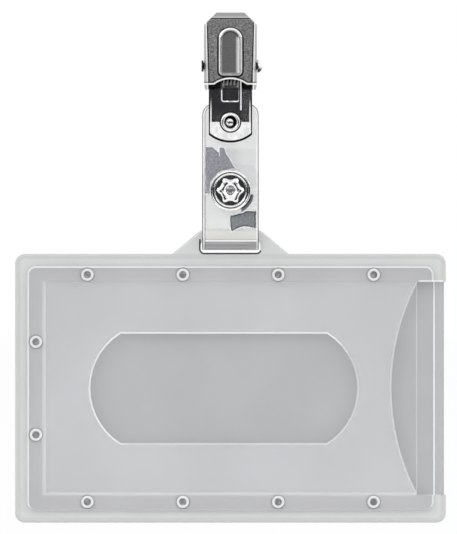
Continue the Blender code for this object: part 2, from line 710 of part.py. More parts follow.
def make_snap_stud():
    back = -GAP
    front = back - SNAP_PLATE
    reach = -STRAP_SPACING + GAP + SNAP_PLATE + GAP
    hole = POST_RADIUS + GAP
    floor = reach + SNAP_PLATE
    profile = [(0.0, reach), (KNOB_RADIUS - GAP, reach), (KNOB_RADIUS, reach + GAP), (KNOB_RADIUS, front),
               (SOCKET_RADIUS, front), (SOCKET_RADIUS, back), (hole, back), (hole, floor), (0.0, floor)]
    return turned("snap_stud", profile[::-1], "Y", Vector((0.0, FLAP_FRONT, SNAP_Z)), 32)


def make_snap_cap():
    tip = -STRAP_THICKNESS - GAP
    profile = dome(SNAP_RADIUS, GAP, CAP_CROWN)[::-1] + [(POST_RADIUS, GAP), (POST_RADIUS, tip), (0.0, tip)]
    return turned("snap_cap", profile, "Y", Vector((0.0, FLAP_BACK, SNAP_Z)), 36)


def shell_outline():
    """Flange, tab and the set-back edge at the card entry, as one outline in X, Z."""
    half = HOLDER_WIDTH / 2
    bottom = HOLDER_TOP - HOLDER_HEIGHT
    box = rounded_box(-half, bottom, half, HOLDER_TOP, HOLDER_ROUND)
    per_corner = len(box) // 4
    low_right, high_right, rest = box[:per_corner], box[per_corner:2 * per_corner], box[2 * per_corner:]
    inner = half - ENTRY_SETBACK
    edge = [(half, HOLDER_MID - ENTRY_HALF), (inner, HOLDER_MID - ENTRY_HALF),
            (inner, HOLDER_MID + ENTRY_HALF), (half, HOLDER_MID + ENTRY_HALF)]
    slant = degrees(atan2((TAB_BASE_WIDTH - TAB_TOP_WIDTH) / 2, TAB_HEIGHT))
    tab = [(TAB_BASE_WIDTH / 2, HOLDER_TOP)]
    tab += arc((TAB_TOP_WIDTH / 2 - TAB_ROUND, TAB_TOP - TAB_ROUND), TAB_ROUND, slant, 90, 4)
    tab += [(-x, z) for x, z in reversed(tab)]
    return low_right + edge + high_right + tab + rest


def peg_places():
    """Centres of the pegs in X, Z: rows along the top and bottom rims, a column on the left rim."""
    top = HOLDER_TOP - PEG_INSET
    bottom = HOLDER_TOP - HOLDER_HEIGHT + PEG_INSET
    first = -PEG_ROW_PITCH * (PEG_ROW_COUNT - 1) / 2
    places = [(first + PEG_ROW_PITCH * i, z) for z in (top, bottom) for i in range(PEG_ROW_COUNT)]
    low = HOLDER_MID - PEG_COLUMN_PITCH * (PEG_COLUMN_COUNT - 1) / 2
    left = -HOLDER_WIDTH / 2 + PEG_INSET
    return places + [(left, low + PEG_COLUMN_PITCH * i) for i in range(PEG_COLUMN_COUNT)]


def make_rear_shell():
    levels = [(FLANGE_BACK, 0.0), (FLANGE_FRONT + FLANGE_EDGE, 0.0), (FLANGE_FRONT, -FLANGE_EDGE)]
    shell = stacked("rear_shell", shell_outline(), levels)
    back = rounded_box(-PANEL_HALF, PANEL_BOTTOM, PANEL_HALF, PANEL_TOP, BACK_ROUND)
    combine(shell, prism("shell_back_panel", back, "Y", LOOP_Y, FLANGE_BACK + BACK_RAISE), "UNION")

    mouth = FLANGE_FRONT - GAP
    dip = POCKET_FLOOR + ENTRY_DIP
    lip = POCKET_FLOOR - ENTRY_LIP
    left = -HOLDER_WIDTH / 2 + POCKET_INSET
    pocket = [(left, mouth), (left, POCKET_FLOOR), (ENTRY_EDGE, POCKET_FLOOR), (ENTRY_EDGE + ENTRY_DIP, dip),
              (PANEL_HALF, dip), (PANEL_HALF + dip - lip, lip), (HOLDER_WIDTH, lip), (HOLDER_WIDTH, mouth)]
    combine(shell, prism("shell_pocket", pocket, "Z", HOLDER_MID - ENTRY_HALF, HOLDER_MID + ENTRY_HALF),
            "DIFFERENCE")

    slot_half = STRAP_WIDTH / 2 + SLOT_PLAY
    slot = rounded_box(-slot_half, SLOT_TOP - SLOT_HEIGHT, slot_half, SLOT_TOP, SLOT_ROUND)
    levels = [(BEYOND, 0.0), (FLANGE_FRONT + SLOT_EDGE, 0.0), (FLANGE_FRONT - GAP, SLOT_EDGE + GAP)]
    combine(shell, stacked("shell_slot", slot, levels), "DIFFERENCE")
    hole = PEG_SHANK_RADIUS + GAP
    floor = PEG_SEAT + GAP
    profile = [(0.0, floor), (hole, floor), (hole, -GAP), (0.0, -GAP)]
    combine(shell, at_pegs("shell_peg_holes", profile, FLANGE_FRONT, 16), "DIFFERENCE")
    return shell


def make_front_panel():
    box = rounded_box(-PANEL_HALF, PANEL_BOTTOM, PANEL_HALF, PANEL_TOP, PANEL_ROUND)
    levels = [(PANEL_BACK, 0.0), (PANEL_FRONT + PANEL_EDGE, 0.0), (PANEL_FRONT, -PANEL_EDGE)]
    panel = stacked("front_panel", box, levels)

    low = HOLDER_MID - ENTRY_HALF
    high = HOLDER_MID + ENTRY_HALF
    entry = [(ENTRY_EDGE, low), (HOLDER_WIDTH, low), (HOLDER_WIDTH, high), (ENTRY_EDGE, high)]
    combine(panel, prism("panel_entry", entry, "Y", PANEL_FRONT - GAP, PANEL_BACK + GAP), "DIFFERENCE")

    cut = [(PANEL_BACK + GAP, 0.0), (PANEL_FRONT + PANEL_EDGE, 0.0), (PANEL_FRONT - GAP, PANEL_EDGE + GAP)]
    radius = ((NOTCH_HEIGHT / 2) ** 2 + NOTCH_DEPTH ** 2) / (2 * NOTCH_DEPTH)
    spread = degrees(asin(NOTCH_HEIGHT / 2 / radius))
    notch = arc((ENTRY_EDGE - NOTCH_DEPTH + radius, HOLDER_MID), radius, 180 - spread, 180 + spread, 16)
    notch += [(ENTRY_EDGE + ENTRY_DEPTH / 2, notch[-1][1]), (ENTRY_EDGE + ENTRY_DEPTH / 2, notch[0][1])]
    combine(panel, stacked("panel_notch", notch, cut), "DIFFERENCE")

    reach = WINDOW_WIDTH / 2 - WINDOW_END_RADIUS
    spread = degrees(asin(WINDOW_HEIGHT / 2 / WINDOW_END_RADIUS))
    window = arc((WINDOW_SHIFT + reach, HOLDER_MID), WINDOW_END_RADIUS, -spread, spread, 14)
    window += arc((WINDOW_SHIFT - reach, HOLDER_MID), WINDOW_END_RADIUS, 180 - spread, 180 + spread, 14)
    combine(panel, stacked("panel_window", window, cut), "DIFFERENCE")
    hole = PEG_SHANK_RADIUS + GAP
    sink = PEG_HEAD_RADIUS + GAP
    floor = PEG_HEAD + GAP
    past = PANEL_THICKNESS + GAP
    profile = [(0.0, past), (hole, past), (hole, floor), (sink, floor), (sink, -GAP), (0.0, -GAP)]
    combine(panel, at_pegs("panel_peg_holes", profile, PANEL_FRONT, 20), "DIFFERENCE")
    return panel


def make_peg(index, x, z):
    end = PANEL_THICKNESS + GAP + PEG_SEAT
    edge = PEG_DIMPLE / 2
    profile = [(0.0, PEG_DIMPLE), (PEG_DIMPLE_RADIUS, PEG_DIMPLE), (PEG_DIMPLE_RADIUS + edge, 0.0),
               (PEG_HEAD_RADIUS - edge, 0.0), (PEG_HEAD_RADIUS, edge), (PEG_HEAD_RADIUS, PEG_HEAD),
               (PEG_SHANK_RADIUS, PEG_HEAD), (PEG_SHANK_RADIUS, end), (0.0, end)]
    return turned("shell_peg_%02d" % index, profile, "Y", Vector((x, PANEL_FRONT, z)), 16)


clear_scene()
nickel = finish_material("satin_nickel", NICKEL)
dark_nickel = finish_material("bright_nickel", DARK_NICKEL)
spring_steel = finish_material("spring_steel", SPRING_STEEL)
vinyl = finish_material("clear_vinyl", CLEAR_VINYL)
frosted = finish_material("frosted_shell", FROSTED_SHELL)

clip_empty = axis_empty("clip_body", (0.0, 0.0, 0.0))
jaw_empty = axis_empty("jaw_axis", PIN, clip_empty)
strap_empty = axis_empty("strap_axis", RIVET, clip_empty)
flap_empty = axis_empty("flap_axis", FOLD, strap_empty)
card_empty = axis_empty("holder_axis", BAR, strap_empty)

seat(make_lever(), clip_empty, dark_nickel)
seat(make_pin(), clip_empty, nickel)
seat(make_spring(), clip_empty, spring_steel)
seat(make_eyelet(), clip_empty, nickel)
seat(make_rivet(), clip_empty, nickel)
seat(make_front_jaw(), jaw_empty, nickel)
seat(make_strap(), strap_empty, vinyl)
seat(make_snap_ring(), strap_empty, nickel)
seat(make_snap_post(), strap_empty, nickel)
seat(make_snap_socket(), strap_empty, nickel)
seat(make_flap(), flap_empty, vinyl)
seat(make_snap_stud(), flap_empty, nickel)
seat(make_snap_cap(), flap_empty, nickel)
seat(make_rear_shell(), card_empty, frosted)
seat(make_front_panel(), card_empty, frosted)
for number, (peg_x, peg_z) in enumerate(peg_places(), start=1):
    seat(make_peg(number, peg_x, peg_z), card_empty, frosted)
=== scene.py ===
"""Looks of a rigid card holder on a clear snap strap with a sprung metal jaw clip."""
from functools import reduce
from math import cos, pi, radians

import bmesh
import bpy
from mathutils import Matrix, Vector


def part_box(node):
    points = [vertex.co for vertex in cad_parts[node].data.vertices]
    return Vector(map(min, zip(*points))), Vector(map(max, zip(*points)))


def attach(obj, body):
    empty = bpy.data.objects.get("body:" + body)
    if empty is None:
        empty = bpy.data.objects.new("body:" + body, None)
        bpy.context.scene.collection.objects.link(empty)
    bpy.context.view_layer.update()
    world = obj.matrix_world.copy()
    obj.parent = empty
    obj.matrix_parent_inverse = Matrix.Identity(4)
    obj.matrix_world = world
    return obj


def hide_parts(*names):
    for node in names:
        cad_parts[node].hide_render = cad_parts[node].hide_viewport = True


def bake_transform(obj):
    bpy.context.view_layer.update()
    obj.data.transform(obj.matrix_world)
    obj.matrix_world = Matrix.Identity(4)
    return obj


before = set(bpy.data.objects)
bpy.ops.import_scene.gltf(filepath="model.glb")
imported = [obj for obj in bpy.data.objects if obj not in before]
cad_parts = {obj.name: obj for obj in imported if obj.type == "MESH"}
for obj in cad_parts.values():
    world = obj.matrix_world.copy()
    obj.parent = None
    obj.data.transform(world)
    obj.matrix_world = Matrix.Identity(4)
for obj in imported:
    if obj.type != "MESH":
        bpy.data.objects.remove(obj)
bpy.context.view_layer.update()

MM = 0.001
scene = bpy.context.scene
scene.view_settings.view_transform = "Standard"

# Camera: square on to the holder's front, with a long lens, so that the view has hardly any perspective.
# The picture is 457 pixels wide, and one millimetre of the holder takes 3.905 of them.
PICTURE_WIDTH_PX = 457
PX_PER_MM = 3.905
CAMERA_DISTANCE = 2.7
SENSOR_WIDTH = 36.0
NEAR_LIMIT = 0.05
VIEW_CENTRE = (-0.5 * MM, -65.15 * MM)
view_width = PICTURE_WIDTH_PX / PX_PER_MM * MM
camera_data = bpy.data.cameras.new("camera")
camera_data.sensor_fit = "HORIZONTAL"
camera_data.sensor_width = SENSOR_WIDTH
camera_data.lens = SENSOR_WIDTH * CAMERA_DISTANCE / view_width
camera_data.clip_start = NEAR_LIMIT
camera = bpy.data.objects.new("camera", camera_data)
camera.location = (VIEW_CENTRE[0], -CAMERA_DISTANCE, VIEW_CENTRE[1])
camera.rotation_euler = (pi / 2, 0, 0)
scene.collection.objects.link(camera)
scene.camera = camera

# Studio: a white room that is dim round the camera, so that bright metal has something dark to mirror.
# Two soft lamps stand above to the left and to the right.
ROOM_DIM = (0.03, 0.03, 0.033, 1.0)
ROOM_LEVEL = 1.0
BRIGHT_BESIDE = (-0.8, -0.45)
BRIGHT_ABOVE = (0.10, 0.16)
OBJECT_MIDDLE = (0, 0, -70 * MM)
LAMPS = [("lamp_left", (-0.55, -0.55, 0.45), (0.5, 0.5), 3.0),
         ("lamp_right", (0.6, -0.45, 0.2), (0.4, 0.6), 1.5)]


def grey(level):
    return (level, level, level, 1.0)


def add_node(tree, kind, **values):
    """Adds a node and sets its properties and sockets by name."""
    node = tree.nodes.new(kind)
    for key, value in values.items():
        if key in node.bl_rna.properties.keys():
            setattr(node, key, value)
        else:
            node.inputs[key.replace("_", " ")].default_value = value
    return node


def step_between(tree, source, low, high):
    """A value that eases from 0 to 1 as source goes from low to high."""
    node = add_node(tree, "ShaderNodeMapRange", interpolation_type="SMOOTHSTEP", From_Min=low, From_Max=high)
    tree.links.new(source, node.inputs["Value"])
    return node.outputs["Result"]


def maths(tree, operation, a, b=None):
    node = add_node(tree, "ShaderNodeMath", operation=operation)
    for socket, value in zip(node.inputs, (a, b)):
        if value is None:
            continue
        if isinstance(value, (int, float)):
            socket.default_value = value
        else:
            tree.links.new(value, socket)
    return node.outputs[0]


def any_of(tree, *values):
    """The greatest of several values: for masks, where any of them is set."""
    return reduce(lambda a, b: maths(tree, "MAXIMUM", a, b), values)


ROOM_WHITE = grey(1.0)
world = bpy.data.worlds.new("studio")
scene.world = world
world.use_nodes = True
tree = world.node_tree
tree.nodes.clear()
place = add_node(tree, "ShaderNodeTexCoord")
split = add_node(tree, "ShaderNodeSeparateXYZ")
tree.links.new(place.outputs["Generated"], split.inputs[0])
beside = step_between(tree, split.outputs["Y"], *BRIGHT_BESIDE)
above = step_between(tree, split.outputs["Z"], *BRIGHT_ABOVE)
light_path = add_node(tree, "ShaderNodeLightPath")
bright = any_of(tree, beside, above, light_path.outputs["Is Camera Ray"])
shade = add_node(tree, "ShaderNodeMix", data_type="RGBA")
shade.inputs["A"].default_value = ROOM_DIM
shade.inputs["B"].default_value = ROOM_WHITE
tree.links.new(bright, shade.inputs["Factor"])
glow = add_node(tree, "ShaderNodeBackground", Strength=ROOM_LEVEL)
tree.links.new(shade.outputs["Result"], glow.inputs["Color"])
sky = add_node(tree, "ShaderNodeOutputWorld")
tree.links.new(glow.outputs[0], sky.inputs["Surface"])


def soft_lamp(name, place, aim, size, power):
    data = bpy.data.lights.new(name, "AREA")
    data.shape = "RECTANGLE"
    data.size, data.size_y = size
    data.energy = power
    lamp = bpy.data.objects.new(name, data)
    lamp.location = place
    lamp.rotation_euler = (Vector(aim) - Vector(place)).to_track_quat("-Z", "Y").to_euler()
    scene.collection.objects.link(lamp)


for name, place, size, power in LAMPS:
    soft_lamp(name, place, OBJECT_MIDDLE, size, power)

# Floor: a plain white table below the hanging holder, whose front edge lies between holder and camera.
# Most of its brightness to the camera is its own white, and the rest is lit, so that a shadow shows on it.
TABLE_HEIGHT = -160 * MM
TABLE_REACH = 6.0
TABLE_FRONT = -0.35
TABLE_WHITE = grey(0.92)
TABLE_OWN_SHARE = 0.8
SEEN_BY = ("Is Camera Ray", "Is Glossy Ray", "Is Transmission Ray")


def finished(name, bm, crease=None):
    """Puts a finished mesh into the scene, smooth up to the crease angle if one is given."""
    mesh = bpy.data.meshes.new(name)
    bm.to_mesh(mesh)
    bm.free()
    if crease:
        mesh.shade_smooth()
        mesh.set_sharp_from_angle(angle=crease)
    piece = bpy.data.objects.new(name, mesh)
    scene.collection.objects.link(piece)
    return piece


bm = bmesh.new()
bmesh.ops.create_grid(bm, x_segments=1, y_segments=1, size=TABLE_REACH)
bmesh.ops.translate(bm, verts=bm.verts, vec=(0, TABLE_REACH + TABLE_FRONT, TABLE_HEIGHT))
floor = finished("floor", bm)
material = bpy.data.materials.new("floor_white")
material.use_nodes = True
tree = material.node_tree
tree.nodes.clear()
lit = add_node(tree, "ShaderNodeBsdfDiffuse", Color=TABLE_WHITE)
own = add_node(tree, "ShaderNodeEmission", Color=ROOM_WHITE, Strength=1.0)
light_path = add_node(tree, "ShaderNodeLightPath")
seen = any_of(tree, *[light_path.outputs[kind] for kind in SEEN_BY])
share = maths(tree, "MULTIPLY", seen, TABLE_OWN_SHARE)
both = add_node(tree, "ShaderNodeMixShader")
tree.links.new(share, both.inputs[0])
tree.links.new(lit.outputs[0], both.inputs[1])
tree.links.new(own.outputs[0], both.inputs[2])
sheet = add_node(tree, "ShaderNodeOutputMaterial")
tree.links.new(both.outputs[0], sheet.inputs["Surface"])
floor.data.materials.append(material)

# Lever: the rear jaw and the tail pressed from one strip of steel and plated with bright nickel.
# The plating mirrors the room and has fine scratches and cloudy spots. Dark lines of painted shade lie along
# the cut edges, round the eyelet where the rivet is rolled over it and on the tongue's right side, and painted
# shade darkens the slanted part under the front jaw.
NICKEL_BRIGHT = grey(0.96)
NICKEL_CLOUD = (0.83, 0.83, 0.84, 1.0)
# Painted shade: the colour of dark lines on the plating and in the eyelet's bore.
DARK_LINE_SHADE = grey(0.012)
# Painted shade, on the lever under the front jaw and on the pivot pin.
PAINTED_SHADE = (0.03, 0.03, 0.032, 1.0)
TAIL_HALF = 5.55 * MM
TAIL_ARC_CENTRE = (0.0, -24.6 * MM)
TAIL_ARC = 8.7 * MM
RIVET_HEIGHT = -28.0 * MM
EYELET_REACH = 2.5 * MM
LINE_SOFT = 0.05 * MM
WELD_WITHIN = 1e-6
TURNING_BACK = (0.5, 0.2)
GRAIN_DETAIL = 4.0
LEVER_GLOSS = (0.05, 0.12)
LEVER_SPOTS = 700
LEVER_BUMP = 0.0025 * MM
SCRATCH_SCALE = 900
SCRATCH_STRETCH = (1, 1, 0.06)
SCRATCH_RANGE = (0.4, 0.7)
EDGE_ROUGH = 0.3
PAINTED_SHADE_ROUGH = 0.2
SPECK_ROUGH = 0.55
BURNISH_ROUGH = 0.6
TAIL_END_LINE = (-0.62 * MM, -0.5 * MM)
TAIL_END_STARTS = (-29.0 * MM, -29.5 * MM)
TAIL_SIDE_LINE = (TAIL_HALF - 0.34 * MM, TAIL_HALF - 0.24 * MM)
TAIL_SIDE_STARTS = (-20.5 * MM, -22.0 * MM)
BURNISH_STRIP = (TAIL_HALF - 0.72 * MM, TAIL_HALF - 0.38 * MM)
BURNISH_STARTS = (-20.5 * MM, -26.0 * MM)
EYELET_LINE = (-0.2 * MM, 0.28 * MM)
UNDER_JAW_SHADE_BAND = (-19.75 * MM, -15.0 * MM)
UNDER_JAW_SHADE_ASIDE = (1.9 * MM, 2.6 * MM)
UNDER_JAW_SHADE_IN_MIDDLE = 0.5
SPECK_SCALE = 5200
SPECK_BAND = (-28.6 * MM, -19.8 * MM)
SPECK_LOWER = (-23.5 * MM, -28.0 * MM)
SPECK_RIGHT = (2.6 * MM, 3.4 * MM)
SPECK_SHARE = (0.05, 0.45)
TONGUE_SIDE = (2.15 * MM, 2.9 * MM)
TONGUE_BAND = (-22.9 * MM, -18.5 * MM)
TONGUE_FACING = (0.2, 0.4)


def grain_group():
    """Fine spots over a surface as a mask from 0 to 1, read in the piece's own coordinates."""
    group = bpy.data.node_groups.new("fine_grain", "ShaderNodeTree")
    for name, kind in (("Scale", "Float"), ("Stretch", "Vector"), ("Low", "Float"), ("High", "Float")):
        group.interface.new_socket(name, in_out="INPUT", socket_type="NodeSocket" + kind)
    group.interface.new_socket("Mask", in_out="OUTPUT", socket_type="NodeSocketFloat")
    inside = group.nodes.new("NodeGroupInput")
    outside = group.nodes.new("NodeGroupOutput")
    coords = group.nodes.new("ShaderNodeTexCoord")
    scaled = add_node(group, "ShaderNodeVectorMath", operation="MULTIPLY")
    group.links.new(coords.outputs["Object"], scaled.inputs[0])
    group.links.new(inside.outputs["Stretch"], scaled.inputs[1])
    noise = add_node(group, "ShaderNodeTexNoise", Detail=GRAIN_DETAIL)
    group.links.new(scaled.outputs[0], noise.inputs["Vector"])
    group.links.new(inside.outputs["Scale"], noise.inputs["Scale"])
    spread = group.nodes.new("ShaderNodeMapRange")
    group.links.new(noise.outputs["Fac"], spread.inputs["Value"])
    group.links.new(inside.outputs["Low"], spread.inputs["From Min"])
    group.links.new(inside.outputs["High"], spread.inputs["From Max"])
    group.links.new(spread.outputs["Result"], outside.inputs["Mask"])
    return group


FINE_GRAIN = grain_group()


def grain(tree, scale, stretch=(1, 1, 1), low=0.35, high=0.65):
    node = add_node(tree, "ShaderNodeGroup", node_tree=FINE_GRAIN,
                    Scale=scale, Stretch=stretch, Low=low, High=high)
    return node.outputs["Mask"]


def blank_material(name):
    material = bpy.data.materials.new(name)
    material.use_nodes = True
    return material, material.node_tree, material.node_tree.nodes["Principled BSDF"]


def axes_of(tree, kind="Object"):
    """X, Y and Z of the piece's own coordinates, "Object", or of the way its surface faces, "Normal"."""
    coords = add_node(tree, "ShaderNodeTexCoord")
    split = add_node(tree, "ShaderNodeSeparateXYZ")
    tree.links.new(coords.outputs[kind], split.inputs[0])
    return split.outputs["X"], split.outputs["Y"], split.outputs["Z"]


def mix(tree, kind, factor, a, b):
    node = add_node(tree, "ShaderNodeMix", data_type=kind)
    for socket, value in zip((node.inputs["A"], node.inputs["B"]), (a, b)):
        if isinstance(value, (tuple, float)):
            socket.default_value = value
        else:
            tree.links.new(value, socket)
    tree.links.new(factor, node.inputs["Factor"])
    return node.outputs["Result"]


def mix_colour(tree, factor, a, b):
    return mix(tree, "RGBA", factor, a, b)


def mix_value(tree, factor, a, b):
    return mix(tree, "FLOAT", factor, a, b)


def both_of(tree, *masks):
    """Where all of several masks are set."""
    return reduce(lambda a, b: maths(tree, "MULTIPLY", a, b), masks)


def feed(tree, shader, **values):
    """Links values to the shader's sockets of the same names."""
    for name, value in values.items():
        tree.links.new(value, shader.inputs[name.replace("_", " ")])


def roughen(tree, shader, height, distance):
    bump = add_node(tree, "ShaderNodeBump", Distance=distance)
    tree.links.new(height, bump.inputs["Height"])
    feed(tree, shader, Normal=bump.outputs["Normal"])


def bump_between(tree, source, low, high, soft):
    """1 while source is between low and high, and 0 elsewhere."""
    return both_of(tree, step_between(tree, source, low - soft, low + soft),
                   step_between(tree, source, high + soft, high - soft))


def less(tree, a, b):
    """The value a with b taken from it."""
    return maths(tree, "SUBTRACT", a, b)


def beyond_circle(tree, x, z, centre, radius):
    dx = less(tree, x, centre[0])
    dz = less(tree, z, centre[1])
    squares = maths(tree, "ADD", maths(tree, "MULTIPLY", dx, dx), maths(tree, "MULTIPLY", dz, dz))
    return less(tree, maths(tree, "SQRT", squares), radius)


def plated(name, colour, cloud, gloss, spot_scale, bump, marks=()):
    """Nickel plate on steel: cloudy spots, fine scratches, a gloss that varies with them, and marks on top.

    A mark is a mask function, a colour and the roughness there."""
    material, tree, shader = blank_material(name)
    shader.inputs["Metallic"].default_value = 1.0
    spots = grain(tree, spot_scale)
    scratches = grain(tree, SCRATCH_SCALE, SCRATCH_STRETCH, *SCRATCH_RANGE)
    shown = mix_colour(tree, spots, colour, cloud)
    wear = maths(tree, "MULTIPLY", maths(tree, "ADD", spots, scratches), 0.5)
    dull = mix_value(tree, wear, *gloss)
    for mask_of, mark, mark_dull in marks:
        mask = mask_of(tree)
        shown = mix_colour(tree, mask, shown, mark)
        dull = mix_value(tree, mask, dull, mark_dull)
    feed(tree, shader, Base_Color=shown, Roughness=dull)
    roughen(tree, shader, maths(tree, "ADD", spots, scratches), bump)
    return material


def dress(node, material, soften=0.0, segments=2, from_angle=35):
    """Gives a piece from the frame its finish and takes the sharpness off its edges."""
    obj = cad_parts[node]
    obj.data.materials.clear()
    obj.data.materials.append(material)
    if soften:
        weld = obj.modifiers.new("weld", "WELD")
        weld.merge_threshold = WELD_WITHIN
        bevel = obj.modifiers.new("soften", "BEVEL")
        bevel.width = soften
        bevel.segments = segments
        bevel.limit_method = "ANGLE"
        bevel.angle_limit = radians(from_angle)
        bevel.harden_normals = True
        bevel.use_clamp_overlap = True


def not_back(tree):
    """1 on the front and the cut edges, 0 on the back."""
    return step_between(tree, axes_of(tree, "Normal")[1], *TURNING_BACK)


# Painted shade: a dark line along the tail's rounded end.
def tail_end(tree):
    x, y, z = axes_of(tree)
    near_arc = step_between(tree, beyond_circle(tree, x, z, TAIL_ARC_CENTRE, TAIL_ARC), *TAIL_END_LINE)
    return both_of(tree, near_arc, step_between(tree, z, *TAIL_END_STARTS), not_back(tree))


# Painted shade: dark lines along the tail's sides.
def tail_sides(tree):
    x, y, z = axes_of(tree)
    aside = step_between(tree, maths(tree, "ABSOLUTE", x), *TAIL_SIDE_LINE)
    return both_of(tree, aside, step_between(tree, z, *TAIL_SIDE_STARTS), not_back(tree))


def tail_burnish(tree):
    """A strip along each side of the tail, rubbed dull and pale."""
    x, y, z = axes_of(tree)
    aside = bump_between(tree, maths(tree, "ABSOLUTE", x), *BURNISH_STRIP, LINE_SOFT)
    return both_of(tree, aside, step_between(tree, z, *BURNISH_STARTS))


# Painted shade: a dark ring round the eyelet.
def round_eyelet(tree):
    x, y, z = axes_of(tree)
    out = beyond_circle(tree, x, z, (0.0, RIVET_HEIGHT), EYELET_REACH)
    return both_of(tree, bump_between(tree, out, *EYELET_LINE, LINE_SOFT), not_back(tree))


def under_jaw(tree):
    """Painted shade on the slanted part of the lever below the front jaw's edge, less in the middle where the
    spring bears.
    """
    x, y, z = axes_of(tree)
    band = bump_between(tree, z, *UNDER_JAW_SHADE_BAND, 2 * LINE_SOFT)
    aside = step_between(tree, maths(tree, "ABSOLUTE", x), *UNDER_JAW_SHADE_ASIDE)
    return both_of(tree, band, mix_value(tree, aside, UNDER_JAW_SHADE_IN_MIDDLE, 1.0), not_back(tree))


def tail_specks(tree):
    """Dull specks on the upper tail, thicker towards the rivet and on the right."""
    x, y, z = axes_of(tree)
    specks = grain(tree, SPECK_SCALE, low=0.5, high=0.66)
    thicker = any_of(tree, step_between(tree, z, *SPECK_LOWER), step_between(tree, x, *SPECK_RIGHT))
    return both_of(tree, specks, bump_between(tree, z, *SPECK_BAND, 4 * LINE_SOFT),
                   mix_value(tree, thicker, *SPECK_SHARE), not_back(tree))


def tongue_right(tree):
    """The right side of the tongue that is pressed out of the lever, darkened with painted shadow of the
    spring's leg.
    """
    x, y, z = axes_of(tree)
    return both_of(tree, bump_between(tree, x, *TONGUE_SIDE, LINE_SOFT),
                   bump_between(tree, z, *TONGUE_BAND, 2 * LINE_SOFT),
                   step_between(tree, axes_of(tree, "Normal")[0], *TONGUE_FACING))


lever_marks = [(under_jaw, PAINTED_SHADE, PAINTED_SHADE_ROUGH), (tail_specks, NICKEL_BRIGHT, SPECK_ROUGH),
               (tail_burnish, NICKEL_BRIGHT, BURNISH_ROUGH)]
# Dark lines of painted shade along the tail's end and sides, round the eyelet and on the tongue's right side.
lever_marks += [(shade_mask, DARK_LINE_SHADE, EDGE_ROUGH) for shade_mask in (tail_sides, tail_end, round_eyelet, tongue_right)]
lever_nickel = plated("lever_nickel", NICKEL_BRIGHT, NICKEL_CLOUD, LEVER_GLOSS, LEVER_SPOTS, LEVER_BUMP,
                      lever_marks)
dress("lever", lever_nickel)

# Pivot pin and spring: a nickel-plated steel pin, peened over at its left end, with the drawn steel wire of the
# torsion spring wound round it. The spring's short leg bears on the front jaw and its long leg on the lever, and
# as the jaw opens the coil winds up along its length.
WIRE_BRIGHT = grey(0.97)
WIRE_DULL = (0.82, 0.82, 0.83, 1.0)
BRIGHT_GLOSS = (0.06, 0.16)
BRIGHT_BUMP = 0.003 * MM
WIRE_GLOSS = (0.4, 0.55)
WIRE_BUMP = 0.006 * MM
FINE_SPOTS = 900
PIN_UNDERSIDE = (-0.15, -0.45)
PIN_HEAD_FOOT = (7.15 * MM, 7.0 * MM)
PIN_LEFT_END = (-6.6 * MM, -6.8 * MM)
PIN_SOFTEN = 0.08 * MM
bright_nickel = plated("bright_nickel", NICKEL_BRIGHT, NICKEL_CLOUD, BRIGHT_GLOSS, FINE_SPOTS, BRIGHT_BUMP)
spring_steel = plated("spring_steel", WIRE_BRIGHT, WIRE_DULL, WIRE_GLOSS, FINE_SPOTS, WIRE_BUMP)


def pin_shadow(tree):
    """The pin's underside, the foot of its head and its left end, darkened with painted shade."""
    x, y, z = axes_of(tree)
    below = step_between(tree, axes_of(tree, "Normal")[2], *PIN_UNDERSIDE)
    foot = step_between(tree, maths(tree, "ABSOLUTE", x), *PIN_HEAD_FOOT)
    return any_of(tree, below, foot, step_between(tree, x, *PIN_LEFT_END))


pin_nickel = plated("pin_nickel", NICKEL_BRIGHT, NICKEL_CLOUD, BRIGHT_GLOSS, FINE_SPOTS, BRIGHT_BUMP,
                    [(pin_shadow, PAINTED_SHADE, EDGE_ROUGH)])
dress("pivot_pin", pin_nickel, PIN_SOFTEN)
PIN_HEIGHT = -13.7 * MM
WIRE_RADIUS = 0.2 * MM
WIRE_SIDES = 10
WIRE_CREASE = radians(60)
COIL_RADIUS = 2.0 * MM
COIL_HALF = 2.65 * MM
COIL_TURNS = 5.75
TURN_STEPS = 24
SHORT_LEG = [(-2.0 * MM, -15.8 * MM), (-3.4 * MM, -16.1 * MM)]
LONG_LEG = [(-0.3 * MM, -19.5 * MM), (0.1 * MM, -21.1 * MM), (0.1 * MM, -25.0 * MM)]


def draw_out(bm, edges, here, stops):
    """Carries the wire's open end on through the stops, each given as Y and Z."""
    for y, z in stops:
        grown = bmesh.ops.extrude_edge_only(bm, edges=edges)["geom"]
        verts = [part for part in grown if isinstance(part, bmesh.types.BMVert)]
        nearby = {edge for vert in verts for edge in vert.link_edges}
        edges = [edge for edge in nearby if all(vert in verts for vert in edge.verts)]
        bmesh.ops.translate(bm, verts=verts, vec=(0, y - here[0], z - here[1]))
        here = (y, z)


bm = bmesh.new()
coil_start = Vector((-COIL_HALF, 0, PIN_HEIGHT - COIL_RADIUS))
across = Matrix.Translation(coil_start) @ Matrix.Rotation(pi / 2, 4, "X")
first = bmesh.ops.create_circle(bm, segments=WIRE_SIDES, radius=WIRE_RADIUS, matrix=across)["verts"]
first_edges = list({edge for vert in first for edge in vert.link_edges})
coil_steps = int(COIL_TURNS * TURN_STEPS)
coil = bmesh.ops.spin(bm, geom=first + first_edges, cent=(0, 0, PIN_HEIGHT), axis=(1, 0, 0),
                      dvec=(2 * COIL_HALF / coil_steps, 0, 0), angle=2 * pi * COIL_TURNS, steps=coil_steps)
last_edges = [part for part in coil["geom_last"] if isinstance(part, bmesh.types.BMEdge)]
draw_out(bm, first_edges, (0.0, PIN_HEIGHT - COIL_RADIUS), SHORT_LEG)
draw_out(bm, last_edges, (-COIL_RADIUS, PIN_HEIGHT), LONG_LEG)
bmesh.ops.holes_fill(bm, edges=[edge for edge in bm.edges if edge.is_boundary], sides=0)
